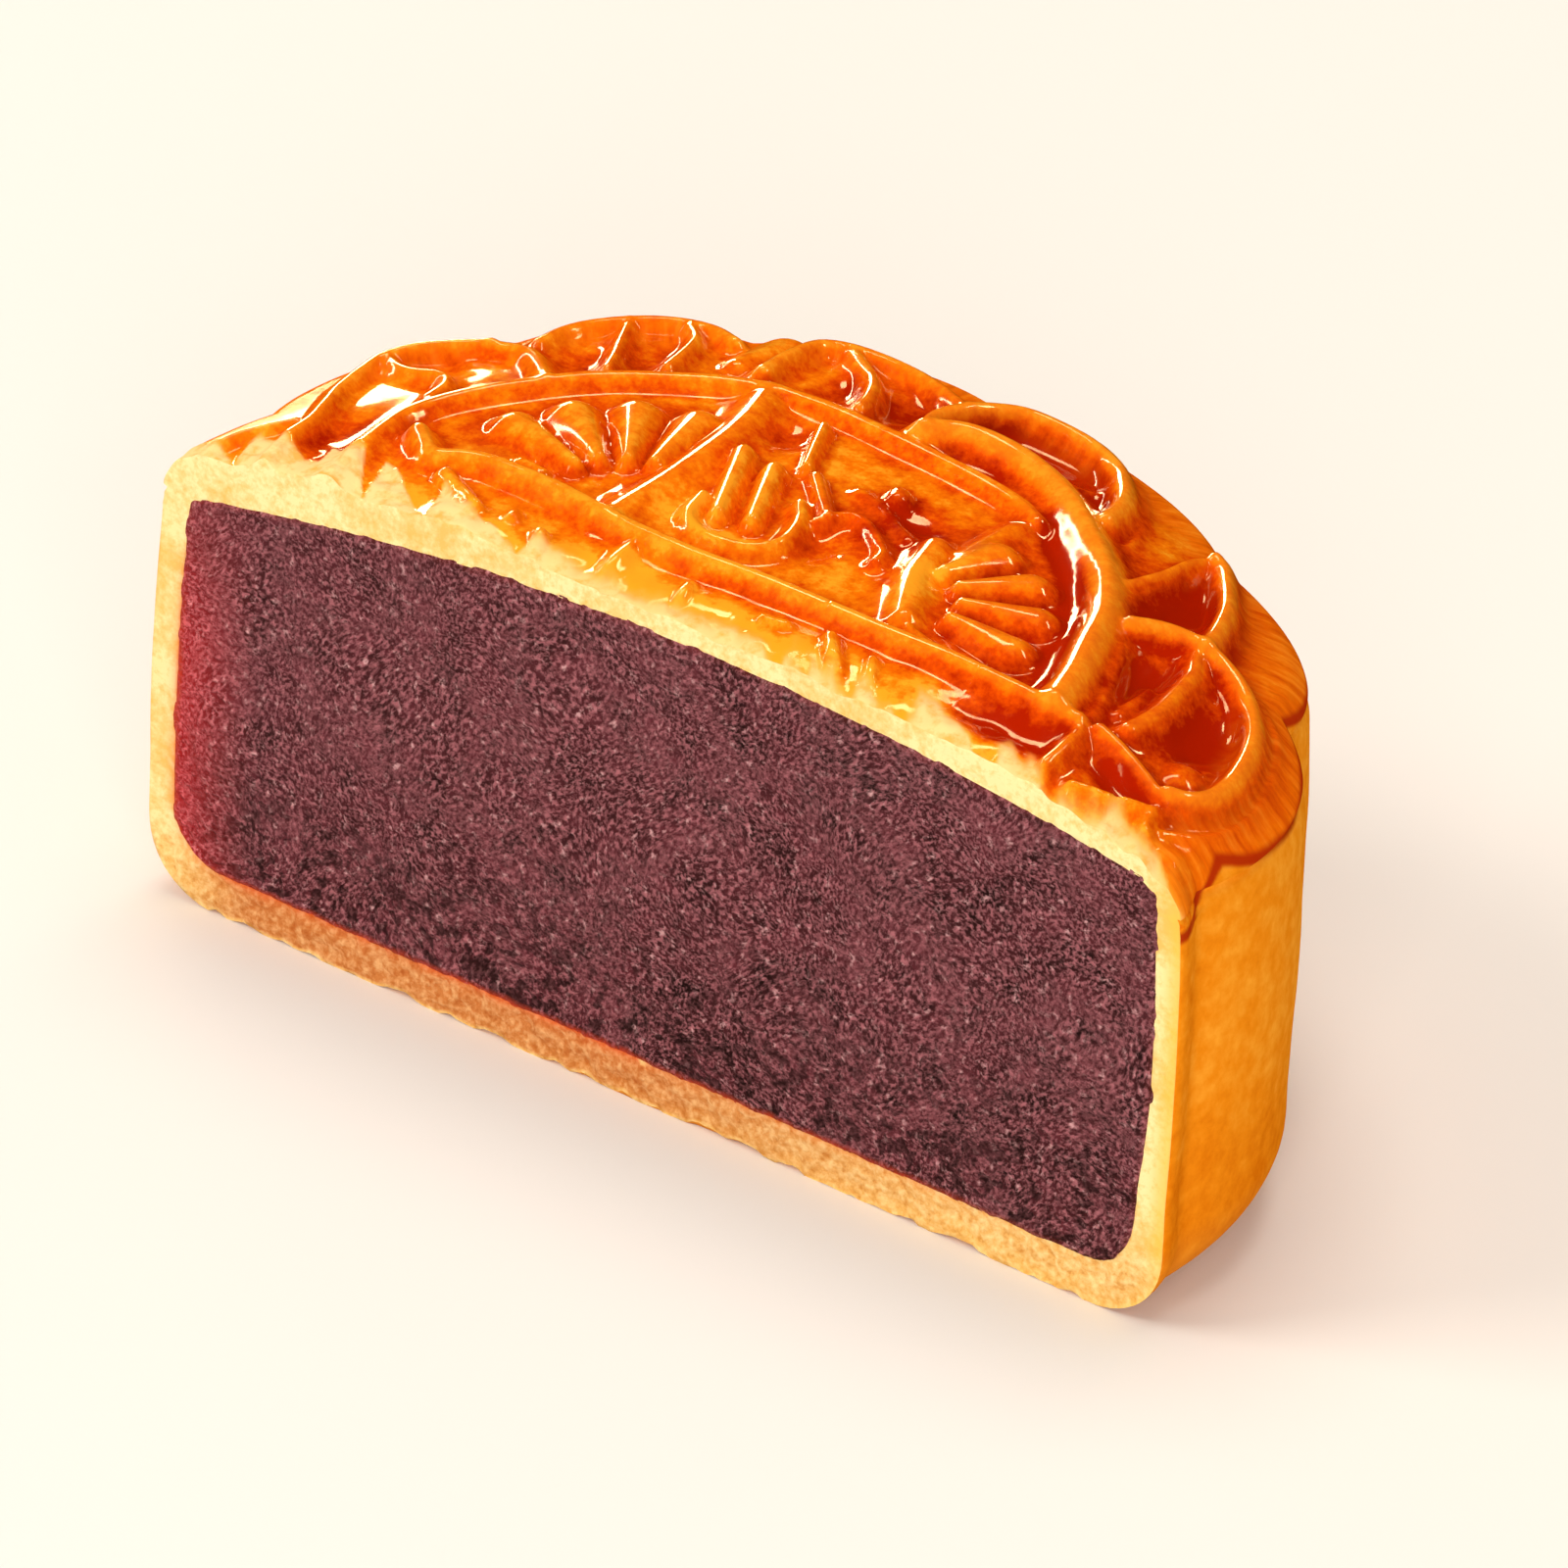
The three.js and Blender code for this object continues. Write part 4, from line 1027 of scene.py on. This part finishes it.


# Red bean paste, cooked down with oil and cut with a wet knife: dark red-brown, short and granular, with
# dense short paler strokes of crushed skins, partly painted highlight where they catch the light, painted
# glints on them and painted shade in the clefts
pasteLook = {
    "paste": [(0.3, "#1E0507"), (0.5, "#46161D"), (0.72, "#5E222C")],
    # painted shade in the clefts between clumps
    "cleftShade": "#1E0507",
    # paler crushed skins, partly painted highlight
    "stroke": "#B46C74",
    "strokeShare": 0.82,
    # painted glints on the strokes
    "glint": "#F0C4C4",
    "glow": "#A80C14",  # light that came through the thin crust at the left
    "glowStroke": "#FF727A",
    "glowWidth": 7.0,  # mm
    "oil": "#C03A14",  # oil that soaked into the crust
    "oilWidth": 0.7,  # mm
    "noises": {
        "patches": (1500.0, 2),  # gaps of about 0.7 mm between the strokes
        "tone": (420.0, 3, 0.65),  # light and dark of about 2 mm
        "drift": (110.0, 1),  # the strokes change their direction over about 9 mm
    },
    "clumps": (1050.0, 3, 0.6),  # clumps of about 1 mm in the lower part, with painted shade in the clefts between them
    "swirl": (90.0, 1),  # the grain bends over about 11 mm,
    "swirlReach": 0.004,  # by this many m
    # strokes of about 0.3 by 0.4 mm in two directions: degrees, stretch, then scale in 1/m
    "strokes": [(-53, 1.35, 3300.0), (15.755, 1.0, 3630.0)],
    "bump": (0.7, 0.0002),  # strength, and height in m
}


def pasteMaterial():
    look = pasteLook
    marks = ("grain", "fromLeft", "fromBottom", "fromEdge")
    material, add, place, sources = newMaterial("cutBeanPaste", marks, look["noises"])
    grain, fromLeft, fromBottom, fromEdge, patches, wide, drift = sources
    across = add("SeparateXYZ", (place,), output="X")
    height = add("SeparateXYZ", (place,), output="Z")

    # short strokes that the knife drew in two directions, with gaps between them
    swirl = add("TexNoise", (place, *look["swirl"]), output="Color")
    reach = look["swirlReach"]
    bend = add("VectorMath", (swirl, (reach, 0, reach)), operation="MULTIPLY")
    bent = add("VectorMath", (place, bend), operation="ADD")
    ways = []
    for turn, stretch, scale in look["strokes"]:
        drawn = add("Mapping", {
            "Vector": bent, "Rotation": (0, math.radians(turn), 0), "Scale": (stretch, 1, 1),
        }, vector_type="TEXTURE")
        drawn = add("TexNoise", (drawn, scale, 2.5, 0.6))
        ways.append(add("MapRange", (drawn, 0.40, 0.66), interpolation_type="SMOOTHSTEP"))
    which = add("MapRange", (drift, 0.42, 0.58))
    strokes = add("Mix", (which, *ways))
    gaps = add("MapRange", (patches, 0.3, 0.5, 0.5))
    clumped = add("MapRange", (height, 0.006, 0.017, 0.75, 0.1))
    clumps = add("TexNoise", (bent, *look["clumps"]))
    clefts = add("MapRange", (clumps, 0.40, 0.50, 1, 0), interpolation_type="SMOOTHSTEP")
    clefts = add("Math", (clefts, clumped), operation="MULTIPLY")
    smooth = add("Math", (1, clefts), operation="SUBTRACT")
    for share in (gaps, smooth):
        strokes = add("Math", (strokes, share), operation="MULTIPLY")

    # the paste itself, a little paler to the left
    lift = add("Math", (grain, 0.07), operation="MULTIPLY")
    paler = add("MapRange", (across, -0.034, 0.010, 0.07, 0))
    tone = add("Math", (lift, wide), operation="ADD")
    tone = add("Math", (tone, paler), operation="ADD")
    colour = add("ValToRGB", (tone,), stops=look["paste"])
    drawn = add("Math", (strokes, look["strokeShare"]), operation="MULTIPLY")
    # painted glints where the strokes meet the brightest patches
    bright = add("MapRange", (patches, 0.58, 0.7, 0, 0.5))
    paintedGlints = add("Math", (strokes, bright), operation="MULTIPLY")

    # painted glow at the left edge, for light that came through the thin crust there, and oil along the
    # sides and bottom
    near = add("MapRange", (fromLeft, 0, look["glowWidth"], 1, 0))
    near = add("Math", (near, 1.5), operation="POWER")
    below = add("MapRange", (height, 0.019, 0.031, 0.95, 0.15))
    near = add("Math", (near, below), operation="MULTIPLY")
    glow = add("Mix", (drawn, look["glow"], look["glowStroke"]), data_type="RGBA")
    oily = add("MapRange", (fromEdge, 0, look["oilWidth"], 0.9, 0))
    lower = add("MapRange", (fromBottom, 14, 26, 1, 0.1))
    dryRight = add("MapRange", (across, 0.020, 0.033, 1, 0.1))
    for part in (lower, dryRight):
        oily = add("Math", (oily, part), operation="MULTIPLY")
    # layers: painted shade in the clefts, paler strokes that are partly painted highlight, painted glints,
    # painted glow at the left edge, then oil
    layers = [(clefts, look["cleftShade"]), (drawn, look["stroke"]), (paintedGlints, look["glint"]), (near, glow)]
    for share, over in (*layers, (oily, look["oil"])):
        colour = add("Mix", (share, colour, over), data_type="RGBA")

    rough = add("MapRange", (strokes, 0, 1, 0.7, 0.35))
    raised = add("Math", (strokes, patches), operation="ADD")
    raised = add("Math", (clefts, -1.2, raised), operation="MULTIPLY_ADD")
    bump = add("Bump", {0: look["bump"][0], 1: look["bump"][1], "Height": raised})
    shader = add("BsdfPrincipled", {
        "Base Color": colour, "Roughness": rough, "IOR": 1.45, "Specular IOR Level": 0.35, "Normal": bump,
    })
    add("OutputMaterial", (shader,))
    return material


crustPiece.data.materials.append(skinMaterial())
crustPiece.data.materials.append(crumbMaterial())
pastePiece.data.materials.append(pasteMaterial())
print("stage: materials")

# A matte, pale paper sweep under the cake
floorLook = {"colour": "#EDE9E4", "size": 3.0, "roughness": 0.9}


def buildFloor():
    half = floorLook["size"] / 2
    corners = [(-half, -half, 0), (half, -half, 0), (half, half, 0), (-half, half, 0)]
    mesh = bpy.data.meshes.new("paperSweep")
    mesh.from_pydata(corners, [], [(0, 1, 2, 3)])
    floor = bpy.data.objects.new("paperSweep", mesh)
    bpy.context.collection.objects.link(floor)
    material, add = newMaterial("mattePaper")[:2]
    shader = add("BsdfPrincipled", {
        "Base Color": floorLook["colour"], "Roughness": floorLook["roughness"], "Specular IOR Level": 0.1,
    })
    add("OutputMaterial", (shader,))
    mesh.materials.append(material)
    floor.visible_glossy = False  # the glaze mirrors the lamps only, as on a dark table


buildFloor()

# Each lamp: its place in metres, its width and height, watts and colour, and whether it only
# draws the thin gloss lines on the glaze instead of lighting the surfaces
lamps = {
    "keyLeft": ((-1.1, -0.9, 1.2), (0.8, 0.8), 15.0, "#FFF6EA", False),
    "frontFill": ((0.75, -1.1, 0.55), (0.8, 0.6), 12.0, "#FFF8F0", False),
    "overhead": ((-0.15, 0.20, 1.3), (0.8, 0.8), 9.0, "#FFF8F0", False),
    "stripHigh": ((-0.30, 0.34, 0.80), (0.5, 0.15), 4.4, "#FFE4A6", True),
    "stripLow": ((-0.70, 0.60, 0.21), (0.24, 0.24), 8.6, "#FFE4A6", True),
    "stripFront": ((-0.50, -0.85, 0.42), (0.25, 0.25), 2.4, "#FFE4A6", True),
    "stripRight": ((0.36, 0.52, 0.70), (0.22, 0.08), 1.9, "#FFE4A6", True),
    "stripLeft": ((-0.88, 0.24, 0.34), (0.75, 0.04), 3.6, "#FFEABC", True),
}
lampTarget = (0, 0, 0.02)
surround = {"colour": "#FFF8F0", "strength": 0.35}


def buildLights():
    for name, (place, size, watts, colour, onlyGloss) in lamps.items():
        data = bpy.data.lights.new(name, "AREA")
        data.shape = "RECTANGLE"
        data.size, data.size_y = size
        data.energy = watts
        data.color = hexColour(colour)[:3]
        light = bpy.data.objects.new(name, data)
        light.location = place
        light.visible_glossy = onlyGloss
        light.visible_diffuse = not onlyGloss
        light.rotation_mode = "QUATERNION"
        light.rotation_quaternion = (Vector(lampTarget) - light.location).to_track_quat("-Z", "Y")
        bpy.context.collection.objects.link(light)
    world = bpy.data.worlds.new("softRoom")
    world.use_nodes = True
    background = world.node_tree.nodes["Background"].inputs
    background["Color"].default_value = hexColour(surround["colour"])
    background["Strength"].default_value = surround["strength"]
    bpy.context.scene.world = world
    world.cycles_visibility.glossy = False


buildLights()

# The camera stands to the right of the cut and looks down on it, turned a little
view = {
    "place": (0.2823, -0.4220, 0.3194),
    "target": (0.0004, -0.0066, 0.017),
    "roll": 3.5,  # degrees
    "lens": 214.0,  # mm, on a sensor this wide
    "sensor": 36.0,
}


def buildCamera():
    data = bpy.data.cameras.new("camera")
    data.lens = view["lens"]
    data.sensor_width = view["sensor"]
    camera = bpy.data.objects.new("camera", data)
    camera.location = view["place"]
    aim = (Vector(view["target"]) - camera.location).to_track_quat("-Z", "Y")
    camera.rotation_mode = "QUATERNION"
    camera.rotation_quaternion = aim @ Quaternion((0, 0, 1), math.radians(view["roll"]))
    bpy.context.collection.objects.link(camera)
    bpy.context.scene.camera = camera


buildCamera()
bpy.context.scene.view_settings.view_transform = "Standard"
bpy.context.scene.view_settings.look = "None"
print("stage: lights and camera")
